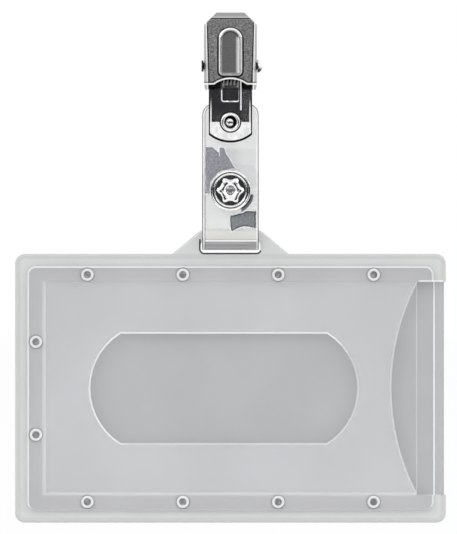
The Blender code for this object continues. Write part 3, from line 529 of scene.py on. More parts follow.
bmesh.ops.recalc_face_normals(bm, faces=bm.faces)
spring_wire = finished("spring_wire", bm, WIRE_CREASE)
spring_wire.data.materials.append(spring_steel)
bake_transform(spring_wire)
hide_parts("torsion_spring")

# Front jaw: pressed from sheet steel with an arched rib, a bent lip and side flanges, nickel plated and left
# satin. The rib, the bends and the lower edge have painted highlights, with painted shade beside them, and
# the flanges and the lip are painted lighter and darker by the way they face.
SATIN_NICKEL = grey(0.40)
# The dark specks of the satin plating, also used as painted shade in the rivet's dimple.
SATIN_SPECK_AND_DIMPLE_SHADE = grey(0.15)
# Painted highlight on the jaw's rib, bends and lower edge.
JAW_HIGHLIGHT = grey(0.95)
RIB_NICKEL = grey(0.80)
PANEL_NICKEL = grey(0.15)
FLANGE_NICKEL = grey(0.43)
LIP_NICKEL = grey(0.33)
LIP_BEND = grey(0.60)
# Painted shade in the jaw's creases, at the lip's root and beside the rib and the lower edge.
JAW_SHADE = grey(0.015)
SATIN_ROUGH = 0.36
JAW_LEAN = 1.2 / 17.1
JAW_FACE_AT_TOP = -3.3018 * MM
JAW_FOOT = -18.5 * MM
SCALLOP_CENTRE = (0.0, -24.1 * MM)
SCALLOP_RADIUS = 7.0 * MM
RIB_HALF = 3.25 * MM
RIB_TOP = -3.8 * MM
RIB_FOOT = -16.5 * MM
RIB_FOOT_ROUND = 1.4 * MM
CREASE_HALF = 6.147 * MM
CREASE_TAPER = 0.0333
CREASE_LINE = (-0.24 * MM, -0.02 * MM)
CREASE_SOFT = 0.04 * MM
BEND_SOFT = 0.06 * MM
FLANGE_FACING = (-0.8, -0.6)
LIP_FACING = (0.4, 0.7)
CREASE_STARTS = (-3.0 * MM, -3.6 * MM)
STRIPE_DEPTH = (-0.85 * MM, -0.1 * MM)
LIP_BEND_LINE = (-1.36 * MM, -1.12 * MM)
LIP_ROOT_LINE = (-1.72 * MM, -1.46 * MM)
RIB_RIGHT_SIDE = (1.2 * MM, 1.8 * MM)
RIB_RIGHT_BAND = (-15.4 * MM, -6.4 * MM, 0.5 * MM)
RIB_ARCH_STARTS = (-6.6 * MM, -6.0 * MM)
RIB_LEFT_SHADE = [(-0.16 * MM, 0.26 * MM)]
RIB_RIGHT_SHADE = [(-0.16 * MM, 0.24 * MM), (0.76 * MM, 0.86 * MM), (1.62 * MM, 1.8 * MM)]
RIB_ARCH_SHADE = [(-0.1 * MM, 0.14 * MM), (1.06 * MM, 1.26 * MM)]
RIB_LEFT_CREST = [(0.32 * MM, 0.62 * MM)]
RIB_RIGHT_CREST = [(0.34 * MM, 0.66 * MM)]
RIB_ARCH_CREST = [(0.24 * MM, 0.92 * MM)]
RIB_FLAT = (0.95 * MM, 1.52 * MM)
RIB_PANEL = (0.85 * MM, 1.0 * MM)
RIB_PANEL_SHARE = (0.9, 0.4)
FOOT_EDGE_LINE = (-0.05 * MM, 0.4 * MM)
FOOT_SHADE_LINE = (0.46 * MM, 0.74 * MM)
JAW_GLOSS = (0.3, 0.42)
JAW_SPOTS = 2600
JAW_BUMP = 0.012 * MM
JAW_SOFTEN = 0.12 * MM


def round_end_group():
    """How far a point lies inside a shape with straight sides and a rounded end, seen from the front."""
    group = bpy.data.node_groups.new("round_end", "ShaderNodeTree")
    for name in ("Half Width", "End", "Round", "Way"):
        group.interface.new_socket(name, in_out="INPUT", socket_type="NodeSocketFloat")
    group.interface.new_socket("Inside", in_out="OUTPUT", socket_type="NodeSocketFloat")
    given = group.nodes.new("NodeGroupInput").outputs
    outside = group.nodes.new("NodeGroupOutput")
    x, y, z = axes_of(group)
    straight = less(group, given["Half Width"], given["Round"])
    aside = maths(group, "MAXIMUM", less(group, maths(group, "ABSOLUTE", x), straight), 0.0)
    past_end = maths(group, "MULTIPLY", less(group, z, given["End"]), given["Way"])
    over = maths(group, "MAXIMUM", maths(group, "ADD", past_end, given["Round"]), 0.0)
    squares = maths(group, "ADD", maths(group, "MULTIPLY", aside, aside), maths(group, "MULTIPLY", over, over))
    reach = less(group, given["Round"], maths(group, "SQRT", squares))
    group.links.new(reach, outside.inputs["Inside"])
    return group


ROUND_END = round_end_group()


def inside_end(tree, half_width, end, rounding, way):
    node = add_node(tree, "ShaderNodeGroup", node_tree=ROUND_END,
                    Half_Width=half_width, End=end, Round=rounding, Way=way)
    return node.outputs["Inside"]


def least(tree, values):
    return reduce(lambda a, b: maths(tree, "MINIMUM", a, b), values)


def above_jaw_face(tree):
    """How far a point stands off the jaw's leaning face."""
    x, y, z = axes_of(tree)
    face = maths(tree, "ADD", maths(tree, "MULTIPLY", z, JAW_LEAN), JAW_FACE_AT_TOP)
    return less(tree, face, y)


# Painted light: the flanges, a little lighter where they don't face the front.
def jaw_sides(tree):
    return step_between(tree, axes_of(tree, "Normal")[1], *FLANGE_FACING)


def side_stripe(tree):
    """The bend between face and flange, with a painted highlight."""
    return both_of(tree, jaw_sides(tree), bump_between(tree, above_jaw_face(tree), *STRIPE_DEPTH, BEND_SOFT))


def side_crease(tree):
    """A dark line of painted shade along the face beside each flange."""
    x, y, z = axes_of(tree)
    half = maths(tree, "ADD", maths(tree, "MULTIPLY", z, CREASE_TAPER), CREASE_HALF)
    out = less(tree, maths(tree, "ABSOLUTE", x), half)
    return both_of(tree, bump_between(tree, out, *CREASE_LINE, CREASE_SOFT),
                   step_between(tree, z, *CREASE_STARTS))


# Painted shade: the lip, darker where it faces up.
def jaw_lip(tree):
    return step_between(tree, axes_of(tree, "Normal")[2], *LIP_FACING)


# Painted highlight along the lip's bend.
def lip_bend(tree):
    return bump_between(tree, axes_of(tree)[2], *LIP_BEND_LINE, BEND_SOFT)


# Painted shade: a dark line at the root of the lip.
def lip_root(tree):
    return bump_between(tree, axes_of(tree)[2], *LIP_ROOT_LINE, LINE_SOFT)


def rib_inside(tree):
    """How far a point lies inside the rib's outline."""
    return least(tree, [inside_end(tree, RIB_HALF, RIB_TOP, RIB_HALF, 1.0),
                        inside_end(tree, RIB_HALF, RIB_FOOT, RIB_FOOT_ROUND, -1.0)])


def rib_right(tree):
    x, y, z = axes_of(tree)
    return both_of(tree, step_between(tree, x, *RIB_RIGHT_SIDE), bump_between(tree, z, *RIB_RIGHT_BAND))


def rib_arch(tree):
    """The rounded top of the rib."""
    return step_between(tree, axes_of(tree)[2], *RIB_ARCH_STARTS)


def rib_lines(tree, left, right, arch):
    """Lines along the rib, given as bands of depth inside its outline, on its left and right and in its arch."""
    inside = rib_inside(tree)
    on_left, on_right, in_arch = [any_of(tree, *[bump_between(tree, inside, *band, LINE_SOFT) for band in bands])
                                  for bands in (left, right, arch)]
    return mix_value(tree, rib_arch(tree), mix_value(tree, rib_right(tree), on_left, on_right), in_arch)


def rib_foot_shade(tree):
    """Painted shade along the rib's outer foot, and in the arch and on the right also along the inner foot."""
    return rib_lines(tree, RIB_LEFT_SHADE, RIB_RIGHT_SHADE, RIB_ARCH_SHADE)


# Painted highlight along the rib's crest.
def rib_crest(tree):
    return rib_lines(tree, RIB_LEFT_CREST, RIB_RIGHT_CREST, RIB_ARCH_CREST)


# Painted light: a light band on the rib's right leg, lighter than the face.
def rib_flat(tree):
    return both_of(tree, rib_right(tree), bump_between(tree, rib_inside(tree), *RIB_FLAT, LINE_SOFT))


def inside_rib(tree):
    """The panel that the rib frames, a little darker than the rest of the face."""
    return both_of(tree, step_between(tree, rib_inside(tree), *RIB_PANEL),
                   mix_value(tree, grain(tree, JAW_SPOTS), *RIB_PANEL_SHARE))


def above_foot(tree):
    """How far a point lies above the jaw's lower edge with its scallop."""
    x, y, z = axes_of(tree)
    return least(tree, [beyond_circle(tree, x, z, SCALLOP_CENTRE, SCALLOP_RADIUS),
                        less(tree, z, JAW_FOOT)])


# Painted highlight along the jaw's lower edge.
def foot_edge(tree):
    return bump_between(tree, above_foot(tree), *FOOT_EDGE_LINE, LINE_SOFT)


# Painted shade: a dark line just above the jaw's lower edge.
def foot_shade(tree):
    return bump_between(tree, above_foot(tree), *FOOT_SHADE_LINE, LINE_SOFT)


# The marks over the satin nickel: all but the panel inside the rib are painted light and shade.
jaw_marks = [(jaw_sides, FLANGE_NICKEL), (side_stripe, JAW_HIGHLIGHT), (jaw_lip, LIP_NICKEL),
             (lip_bend, LIP_BEND), (lip_root, JAW_SHADE), (side_crease, JAW_SHADE), (inside_rib, PANEL_NICKEL),
             (rib_foot_shade, JAW_SHADE), (rib_flat, RIB_NICKEL), (rib_crest, JAW_HIGHLIGHT),
             (foot_shade, JAW_SHADE), (foot_edge, JAW_HIGHLIGHT)]
jaw_nickel = plated("jaw_nickel", SATIN_NICKEL, SATIN_SPECK_AND_DIMPLE_SHADE, JAW_GLOSS, JAW_SPOTS, JAW_BUMP,
                    [(mask_of, colour, SATIN_ROUGH) for mask_of, colour in jaw_marks])
dress("front_jaw", jaw_nickel, JAW_SOFTEN, segments=3, from_angle=60)

# Rivet: a tubular eyelet rolled over the lever's front, and a domed rivet pressed into it from behind the strap.
# Both are nickel-plated brass, a little duller than the lever.
EYELET_GLOSS = (0.16, 0.26)
EYELET_BORE = 1.64 * MM
RIVET_END = (-0.3 * MM, RIVET_HEIGHT - 0.15 * MM)
RIVET_END_RADIUS = 1.02 * MM
RIVET_DIMPLE = 0.3 * MM


def in_bore(tree):
    """Painted shade in the gap between the eyelet's bore and the rivet's end, which sits a little to the lower
    left.
    """
    x, y, z = axes_of(tree)
    past_bore = beyond_circle(tree, x, z, (0.0, RIVET_HEIGHT), EYELET_BORE)
    past_end = beyond_circle(tree, x, z, RIVET_END, RIVET_END_RADIUS)
    return both_of(tree, step_between(tree, past_bore, 0.0, -2 * LINE_SOFT),
                   step_between(tree, past_end, -LINE_SOFT, LINE_SOFT), not_back(tree))


# Painted shade: a dark spot in the dimple of the rivet's end.
def rivet_dimple_shade(tree):
    x, y, z = axes_of(tree)
    past_dimple = beyond_circle(tree, x, z, RIVET_END, RIVET_DIMPLE)
    return both_of(tree, step_between(tree, past_dimple, 2 * LINE_SOFT, -2 * LINE_SOFT), not_back(tree))


eyelet_nickel = plated("eyelet_nickel", WIRE_BRIGHT, NICKEL_CLOUD, EYELET_GLOSS, FINE_SPOTS, BRIGHT_BUMP,
                       [(in_bore, DARK_LINE_SHADE, EDGE_ROUGH), (rivet_dimple_shade, SATIN_SPECK_AND_DIMPLE_SHADE, EDGE_ROUGH)])
dress("clip_eyelet", eyelet_nickel)
dress("clip_rivet", eyelet_nickel)

# Strap: one strip of clear vinyl sheet with round ends, punched for the rivet and the snap, folded through the
# slot of the holder's tab. Its front layer runs from the clip down through the slot, and its rear layer back up
# to the snap. Where the layers touch they cling in grey patches with a bright border.
STRIP_HALF = 7.25 * MM
STRIP_THICK = 0.6 * MM
STRIP_ROUND = 3.0 * MM
STRIP_EDGE = 0.15 * MM
STRIP_CELL = 1.45 * MM
SIDE_CELLS = 4
HOLE_CELLS = 2
CORNER_STEPS = 10
EDGE_STEPS = 3
EDGE_ANGLE = radians(60)
STRIP_CREASE = radians(40)
TOUCHING = 1e-7
FRONT_OUTSIDE = 1.4 * MM
FRONT_TOP = -23.2 * MM
REAR_OUTSIDE = 4.8 * MM
REAR_TOP = -38.9 * MM
RIVET_HOLE = 2.3 * MM
SNAP_HEIGHT = -45.5 * MM
SNAP_HOLE = 1.8 * MM
SWELL_HEIGHT = -51.7 * MM
SWELL_ROWS = 12
FOLD_CENTRE = Vector((0, 3.1 * MM, -58.2 * MM))
FOLD_OUTSIDE = 2.6 * MM
FOLD_TURN = radians(165)
FOLD_ROWS = 22
REAR_FOLD_ROWS = 2


def cut_across(bm, through, facing):
    """Divides the leg's faces along a plane."""
    bmesh.ops.bisect_plane(bm, geom=bm.verts[:] + bm.edges[:] + bm.faces[:], dist=TOUCHING,
                           plane_co=through, plane_no=facing)


def strip_leg(outside, top, holes):
    """A flat leg of the strip, one layer of faces thick, with round upper corners and punched holes."""
    bm = bmesh.new()
    bmesh.ops.create_grid(bm, x_segments=1, y_segments=1, size=1.0)
    length = top - SWELL_HEIGHT
    bmesh.ops.scale(bm, verts=bm.verts, vec=(STRIP_HALF, length / 2, 1))
    bmesh.ops.rotate(bm, verts=bm.verts, cent=(0, 0, 0), matrix=Matrix.Rotation(pi / 2, 3, "X"))
    bmesh.ops.translate(bm, verts=bm.verts, vec=(0, outside, SWELL_HEIGHT + length / 2))
    corners = [v for v in bm.verts if v.co.z > top - STRIP_EDGE]
    bmesh.ops.bevel(bm, geom=corners, offset=STRIP_ROUND, affect="VERTICES", segments=CORNER_STEPS, profile=0.5,
                    material=-1)
    for i in range(-SIDE_CELLS, SIDE_CELLS + 1):
        cut_across(bm, (i * STRIP_CELL, 0, 0), (1, 0, 0))
    for height, radius in holes:
        for i in range(-HOLE_CELLS, HOLE_CELLS + 1):
            cut_across(bm, (0, 0, height + i * STRIP_CELL), (0, 0, 1))
        reach = HOLE_CELLS * STRIP_CELL
        block = [f for f in bm.faces if abs(f.calc_center_median().x) < reach
                 and abs(f.calc_center_median().z - height) < reach]
        bmesh.ops.delete(bm, geom=block, context="FACES")
        just_past = reach + WELD_WITHIN
        square = [e for e in bm.edges if e.is_boundary
                  and all(abs(v.co.x) < just_past and abs(v.co.z - height) < just_past for v in e.verts)]
        place = Matrix.Translation((0, outside, height)) @ Matrix.Rotation(pi / 2, 4, "X")
        ring = bmesh.ops.create_circle(bm, segments=len(square), radius=radius, matrix=place)["verts"]
        rim = list({e for v in ring for e in v.link_edges})
        bmesh.ops.bridge_loops(bm, edges=square + rim)
    return bm


def lowest_edges(bm):
    foot = min(v.co.z for v in bm.verts)
    return [e for e in bm.edges if all(v.co.z < foot + TOUCHING for v in e.verts)]


def run_down(bm, outside, loop_outside):
    """Carries the leg's lower edge down and out to the start of the fold, easing in and out."""
    step = (FOLD_CENTRE.z - SWELL_HEIGHT) / SWELL_ROWS
    before = 0.0
    for row in range(1, SWELL_ROWS + 1):
        ease = (1 - cos(pi * row / SWELL_ROWS)) / 2
        grown = bmesh.ops.extrude_edge_only(bm, edges=lowest_edges(bm))["geom"]
        verts = [g for g in grown if isinstance(g, bmesh.types.BMVert)]
        bmesh.ops.translate(bm, verts=verts, vec=(0, (loop_outside - outside) * (ease - before), step))
        before = ease


def turn_fold(bm, angle, rows):
    edges = lowest_edges(bm)
    verts = list({v for e in edges for v in e.verts})
    bmesh.ops.spin(bm, geom=verts + edges, cent=FOLD_CENTRE, axis=(1, 0, 0), angle=angle, steps=rows)


def strip_piece(name, bm, inward):
    """Gives the layer its thickness, rounds its edges and makes it a piece."""
    bmesh.ops.remove_doubles(bm, verts=bm.verts, dist=TOUCHING)
    bmesh.ops.recalc_face_normals(bm, faces=bm.faces)
    front = max(bm.faces, key=lambda face: face.calc_area())
    if front.normal.y * inward > 0:
        bmesh.ops.reverse_faces(bm, faces=bm.faces)
    bmesh.ops.solidify(bm, geom=bm.faces[:], thickness=STRIP_THICK)
    bmesh.ops.recalc_face_normals(bm, faces=bm.faces)
    sharp = [e for e in bm.edges if e.is_manifold and e.calc_face_angle() > EDGE_ANGLE]
    bmesh.ops.bevel(bm, geom=sharp, offset=STRIP_EDGE, affect="EDGES", segments=EDGE_STEPS, profile=0.5,
                    material=-1)
    return finished(name, bm, STRIP_CREASE)


bm = strip_leg(FRONT_OUTSIDE, FRONT_TOP, [(RIVET_HEIGHT, RIVET_HOLE), (SNAP_HEIGHT, SNAP_HOLE)])
run_down(bm, FRONT_OUTSIDE, FOLD_CENTRE.y - FOLD_OUTSIDE)
turn_fold(bm, FOLD_TURN, FOLD_ROWS)
vinyl_front = strip_piece("vinyl_front", bm, inward=1)
bm = strip_leg(REAR_OUTSIDE, REAR_TOP, [(SNAP_HEIGHT, SNAP_HOLE)])
run_down(bm, REAR_OUTSIDE, FOLD_CENTRE.y + FOLD_OUTSIDE)
turn_fold(bm, FOLD_TURN - pi, REAR_FOLD_ROWS)
vinyl_rear = strip_piece("vinyl_rear", bm, inward=-1)

VINYL_CLEAR = (0.42, 0.43, 0.44, 1.0)
# Painted shade for dark lines along the sheet's edges and beside the snap.
VINYL_LINE = grey(0.03)
VINYL_LIGHT = grey(0.97)
# Painted shade on the fold, and painted light where the sheet lies over the tab.
VINYL_FOLD = (0.42, 0.425, 0.43, 1.0)
VINYL_FOLD_STREAK = (0.24, 0.24, 0.245, 1.0)
VINYL_ON_TAB = (0.76, 0.76, 0.735, 1.0)
VINYL_IOR = 1.53
VINYL_GLOSS = (0.06, 0.14)
VINYL_CLOUDS = 120
VINYL_SMEARS = 400
VINYL_WAVES = 260
VINYL_BUMP = 0.03 * MM
FRONT_ALPHA = 0.22
REAR_ALPHA = 0.05
ALPHA_SPREAD = (0.85, 1.15)
STREAK_SCALE = 300
STREAK_STRETCH = (0.15, 1, 5)
STREAK_RANGE = (0.35, 0.6)
CLING_UPPER = ((0.20, 0.21, 0.235, 1.0), (0.34, 0.35, 0.38, 1.0))
CLING_LOWER = ((0.125, 0.14, 0.15, 1.0), (0.215, 0.235, 0.255, 1.0))
CLING_DARK = (0.05, 0.055, 0.06, 1.0)
CLING_ALPHA = 0.87
CLING_THIN_ALPHA = 0.6
CLING_SPECKS = 3800
CLING_THINS = (-46.0 * MM, -39.0 * MM)
SNAP_REACH = 5.45 * MM
# Edges of the cling patches, as heights and sides, or as a point and a direction where they slant.
LEFT_LOBE_TOP = -34.6 * MM
LEFT_LOBE_SIDE = -2.95 * MM
LEFT_LOBE_SLANT = ((-4.65 * MM, -34.6 * MM), (1.7, -1.4))
RIGHT_LOBE_TOP = -34.8 * MM
RIGHT_LOBE_SIDE = -2.7 * MM
LOBES_FOOT = -36.9 * MM
UPPER_SIDE = -6.28 * MM
UPPER_FOOT = -46.3 * MM
UPPER_SLANT = ((-1.77 * MM, -34.8 * MM), (2.28, -4.2))
LOWER_SIDE = 6.5 * MM
LOWER_TOP = -50.85 * MM
LOWER_SLANT = ((0.73 * MM, -51.9 * MM), (3.87, 1.05))
LOWER_ROUND = ((5.9 * MM, -53.7 * MM), 6.0 * MM)
LOWER_ARCH = (4.1 * MM, -54.7 * MM)
LOWER_ARCH_BEND = 0.09 / MM
# Bands on the sheet: start, end and softness. A pair says where a change starts and ends.
ON_TAB = (-58.4 * MM, -55.6 * MM, 0.6 * MM)
FOLD_BEGINS = (-58.55 * MM, -58.75 * MM)
FOLD_GLEAM = (-58.62 * MM, -58.3 * MM, BEND_SOFT)
HALO_SPOTS = 900
HALO = (-0.32 * MM, -0.12 * MM, 0.08 * MM)
NEAR_CLING_SIDES = (-1.5 * MM, 6.6 * MM, 0.5 * MM)
NEAR_CLING_HEIGHT = (-44.5 * MM, -34.8 * MM, 0.8 * MM)
NEAR_CLING_FADES = (0.0, 4.0 * MM)
NEAR_CLING_ALPHA = (0.42, 0.3)
CRESCENT = (-0.4 * MM, 0.75 * MM, 2 * LINE_SOFT)
CRESCENT_SIDES = (2.8 * MM, 5.9 * MM, 0.3 * MM)
CRESCENT_BELOW = (-46.3 * MM, -46.9 * MM)
SNAP_LINE = (0.25 * MM, 0.05 * MM)
LEFT_HALF = (0.5 * MM, -0.5 * MM)
CLEAR_OF_EDGE = (0.5 * MM, 0.7 * MM)
EDGE_INNER_LINE = (0.66 * MM, 0.82 * MM, LINE_SOFT)
EDGE_LIGHT = (0.3 * MM, 0.58 * MM, BEND_SOFT)
EDGE_LINE = (0.04 * MM, 0.24 * MM, LINE_SOFT)


def beyond_line(tree, x, z, through, along):
    """Distance of a point to the right of a line in X, Z, looking along it."""
    run = Vector(along).normalized()
    right = (run.y, -run.x)
    far = maths(tree, "ADD", maths(tree, "MULTIPLY", x, right[0]), maths(tree, "MULTIPLY", z, right[1]))
    return less(tree, far, through[0] * right[0] + through[1] * right[1])


def wavering(tree, axis, scale, amount):
    """A coordinate shifted a little by noise, for an uneven edge."""
    return maths(tree, "ADD", axis, mix_value(tree, grain(tree, scale, low=0.3, high=0.7), -amount, amount))


def upper_cling(tree):
    """Depth inside the cling patch above the snap, which has two lobes at its top."""
    x, y, z = axes_of(tree)
    x = wavering(tree, x, scale=700, amount=0.16 * MM)
    z = wavering(tree, z, scale=420, amount=0.3 * MM)
    left_lobe = least(tree, [less(tree, LEFT_LOBE_TOP, z), less(tree, LEFT_LOBE_SIDE, x),
                             beyond_line(tree, x, z, *LEFT_LOBE_SLANT)])
    right_lobe = least(tree, [less(tree, RIGHT_LOBE_TOP, z), less(tree, x, RIGHT_LOBE_SIDE)])
    top = any_of(tree, left_lobe, right_lobe, less(tree, LOBES_FOOT, z))
    return least(tree, [top, less(tree, x, UPPER_SIDE), less(tree, z, UPPER_FOOT),
                        beyond_line(tree, x, z, *UPPER_SLANT),
                        beyond_circle(tree, x, z, (0.0, SNAP_HEIGHT), SNAP_REACH)])


def lower_cling(tree):
    """Depth inside the cling patch between the snap and the tab, which is arched below."""
    x, y, z = axes_of(tree)
    x = wavering(tree, x, scale=600, amount=0.2 * MM)
    z = wavering(tree, z, scale=500, amount=0.15 * MM)
    dx = less(tree, x, LOWER_ARCH[0])
    drop = maths(tree, "MULTIPLY", maths(tree, "MULTIPLY", dx, dx), LOWER_ARCH_BEND)
    arch = less(tree, LOWER_ARCH[1], drop)
    return least(tree, [less(tree, LOWER_SIDE, x), less(tree, LOWER_TOP, z),
                        beyond_line(tree, x, z, *LOWER_SLANT),
                        maths(tree, "MULTIPLY", beyond_circle(tree, x, z, *LOWER_ROUND), -1.0),
                        less(tree, z, arch)])


def cling_layers(tree, depth, tones, border, border_width, thins):
    """A speckled grey patch with a light border outside it and a line just inside its edge."""
    ragged = grain(tree, HALO_SPOTS, low=0.3, high=0.6)
    halo = both_of(tree, bump_between(tree, depth, *HALO), ragged)
    patch = step_between(tree, depth, -BEND_SOFT, BEND_SOFT)
    speck = grain(tree, CLING_SPECKS, low=0.42, high=0.6)
    edge = bump_between(tree, depth, 0.0, border_width, LINE_SOFT)
    alpha = CLING_ALPHA
    if thins:
        thinning = step_between(tree, axes_of(tree)[2], *CLING_THINS)
        alpha = mix_value(tree, thinning, CLING_THIN_ALPHA, CLING_ALPHA)
    return [(halo, VINYL_LIGHT, 0.6), (patch, mix_colour(tree, speck, *tones), alpha),
            (maths(tree, "MULTIPLY", edge, border), CLING_DARK, CLING_ALPHA)]


def vinyl(name, clear_alpha, clings):
    """Clear sheet with dark lines of painted shade and a painted highlight along its cut edges, painted light
    over the tab, painted shade and a painted highlight on the fold, and patches where it clings to the other
    layer.

    A layer is a mask, a colour and how solid the sheet looks there."""
    material, tree, shader = blank_material(name)
    shader.inputs["IOR"].default_value = VINYL_IOR
    inside = inside_end(tree, STRIP_HALF, FRONT_TOP, STRIP_ROUND, 1.0)
    x, y, z = axes_of(tree)
    left = step_between(tree, x, *LEFT_HALF)
    inner = step_between(tree, inside, *CLEAR_OF_EDGE)
    # Painted shade on the fold, greyer with streaks, a painted highlight along the fold's top, and painted light
    # where the sheet lies over the tab.
    streaks = grain(tree, STREAK_SCALE, STREAK_STRETCH, *STREAK_RANGE)
    folded = mix_colour(tree, streaks, VINYL_FOLD_STREAK, VINYL_FOLD)
    layers = [(bump_between(tree, z, *ON_TAB), VINYL_ON_TAB, 0.55),
              (step_between(tree, z, *FOLD_BEGINS), folded, 0.7),
              (both_of(tree, bump_between(tree, z, *FOLD_GLEAM), inner), VINYL_LIGHT, 0.8)]
    if clings:
        near_cling = both_of(tree, bump_between(tree, x, *NEAR_CLING_SIDES),
                             bump_between(tree, z, *NEAR_CLING_HEIGHT))
        fading = step_between(tree, x, *NEAR_CLING_FADES)
        layers.append((near_cling, VINYL_CLEAR, mix_value(tree, fading, *NEAR_CLING_ALPHA)))
        for depth_of, look in clings:
            layers += cling_layers(tree, depth_of(tree), **look)
        past_snap = beyond_circle(tree, x, z, (0.0, SNAP_HEIGHT), SNAP_REACH)
        crescent = both_of(tree, bump_between(tree, past_snap, *CRESCENT),
                           bump_between(tree, x, *CRESCENT_SIDES), step_between(tree, z, *CRESCENT_BELOW))
        snap_line = both_of(tree, step_between(tree, past_snap, *SNAP_LINE), crescent)
        layers += [(crescent, CLING_LOWER[0], 0.85), (snap_line, VINYL_LINE, 0.95)]
    # Painted shade and a painted highlight along the cut edges; the inner dark line lies on the left half only.
    layers += [(both_of(tree, bump_between(tree, inside, *EDGE_INNER_LINE), left), VINYL_LINE, 0.5),
               (bump_between(tree, inside, *EDGE_LIGHT), VINYL_LIGHT, 0.55),
               (bump_between(tree, inside, *EDGE_LINE), VINYL_LINE, 0.62)]
    shown = VINYL_CLEAR
    solid = mix_value(tree, grain(tree, VINYL_CLOUDS), *[clear_alpha * share for share in ALPHA_SPREAD])
    for mask, colour, alpha in layers:
        shown = mix_colour(tree, mask, shown, colour)
        solid = mix_value(tree, mask, solid, alpha)
    gloss = mix_value(tree, grain(tree, VINYL_SMEARS), *VINYL_GLOSS)
    feed(tree, shader, Base_Color=shown, Alpha=solid, Roughness=gloss)
    roughen(tree, shader, grain(tree, VINYL_WAVES), VINYL_BUMP)
    return material


front_clings = [(upper_cling, dict(tones=CLING_UPPER, border=0.25, border_width=0.16 * MM, thins=True)),
                (lower_cling, dict(tones=CLING_LOWER, border=0.9, border_width=0.34 * MM, thins=False))]
front_vinyl = vinyl("front_vinyl", FRONT_ALPHA, front_clings)
rear_vinyl = vinyl("rear_vinyl", REAR_ALPHA, [])
vinyl_front.data.materials.append(front_vinyl)
vinyl_rear.data.materials.append(rear_vinyl)
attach(vinyl_front, "strap")
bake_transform(vinyl_rear)
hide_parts("strap")
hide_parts("strap_flap")

# Snap fastener: ring, star-crimped post and socket on the front layer, stud and cap on the rear one, all pressed
# from brass, plated with bright nickel and crimped through the vinyl.
for node in ("snap_ring", "snap_post", "snap_socket", "snap_stud", "snap_cap"):
    dress(node, bright_nickel)

# Rear shell: back wall, flange, tab and slot in one moulding of milky translucent plastic with a finely frosted
# skin. Painted shade makes the thin pocket floor and its lip darker than the flange, and moulded edges gather
# light.
SHELL_FLANGE = (0.63, 0.64, 0.64, 1.0)
SHELL_BORDER = (0.56, 0.565, 0.56, 1.0)
SHELL_FLOOR = (0.38, 0.385, 0.40, 1.0)
SHELL_LIP = (0.41, 0.415, 0.43, 1.0)
SHELL_GLEAM = (0.95, 0.95, 0.96, 1.0)
SHELL_STEP = (0.60, 0.605, 0.62, 1.0)
SHELL_SHADE = grey(0.03)
SHELL_ALPHA = 0.62
EDGE_ALPHA = 0.9
PLASTIC_IOR = 1.5
FROST_GLOSS = (0.32, 0.45)
FROST_SMEARS = 700
FROST_SPOTS = 2500
FROST_BUMP = 0.006 * MM
CLOUD_SCALE = 60
CLOUD_SHARE = 0.03
EDGE_FACING = (0.97, 0.85)
SHELL_SOFTEN = 0.2 * MM
MASK_SOFT = 0.1 * MM
HOLDER_HALF = 55.2 * MM
HOLDER_TOP = -61.8 * MM
HOLDER_FOOT = -130.7 * MM
HOLDER_ROUND = 2.4 * MM
POCKET_LEVEL = 3.1 * MM
LIP_SIDE = 52.2 * MM
ENTRY_TOP = -68.95 * MM
ENTRY_LINE = (ENTRY_TOP + 0.05 * MM, ENTRY_TOP + 0.4 * MM)
ENTRY_SIDES = (48.3 * MM, 54.6 * MM)
BORDER_WIDTH = (1.5 * MM, 1.1 * MM)
INNER_SIDES = (-53.8 * MM, 53.8 * MM)
INNER_HEIGHT = (-129.0 * MM, -63.6 * MM)
INNER_STEP_ENDS = (51.0 * MM, 50.0 * MM)
SLOT_HALF = 7.65 * MM
SLOT_FOOT = -61.5 * MM
SLOT_ROUND = 1.0 * MM
SLOT_RING = (-0.4 * MM, 0.05 * MM, 0.04 * MM)
SLOT_LOW = (SLOT_FOOT + 0.8 * MM, SLOT_FOOT + 0.4 * MM)
SLOT_LEFT = (-6.9 * MM, -7.4 * MM)
AT_SLOT_SIDES = (-8.2 * MM, 8.2 * MM)
AT_SLOT_HEIGHT = (-62.0 * MM, -58.0 * MM)


def frost(tree, shader):
    """The fine texture of the mould on the plastic's skin."""
    shader.inputs["IOR"].default_value = PLASTIC_IOR
    feed(tree, shader, Roughness=mix_value(tree, grain(tree, FROST_SMEARS), *FROST_GLOSS))
    roughen(tree, shader, grain(tree, FROST_SPOTS), FROST_BUMP)


def clouded(tree, colour):
    """The plastic's colour with faint wide clouds in it."""
    deeper = tuple(part * (1 - CLOUD_SHARE) for part in colour[:3]) + (1.0,)
    paler = tuple(part * (1 + CLOUD_SHARE) for part in colour[:3]) + (1.0,)
    return mix_colour(tree, grain(tree, CLOUD_SCALE), deeper, paler)


def painted(tree, shown, layers):
    """Lays colours over a first one, each where its mask is set."""
    for mask, colour in layers:
        shown = mix_colour(tree, mask, shown, colour)
    return shown


def edge_facing(tree):
    """1 on moulded edges and walls, which don't face the front or the back."""
    return step_between(tree, maths(tree, "ABSOLUTE", axes_of(tree, "Normal")[1]), *EDGE_FACING)


def within(tree, x, z, sides, height):
    """1 inside a rectangle, seen from the front."""
    return both_of(tree, bump_between(tree, x, *sides, MASK_SOFT), bump_between(tree, z, *height, MASK_SOFT))


def entry_line(tree):
    """The thick upper edge of the card entry, which gathers light."""
    x, y, z = axes_of(tree)
    return both_of(tree, bump_between(tree, z, *ENTRY_LINE, LINE_SOFT),
                   bump_between(tree, x, *ENTRY_SIDES, MASK_SOFT), not_back(tree))


material, tree, shader = blank_material("shell_plastic")
frost(tree, shader)
x, y, z = axes_of(tree)
edges = edge_facing(tree)
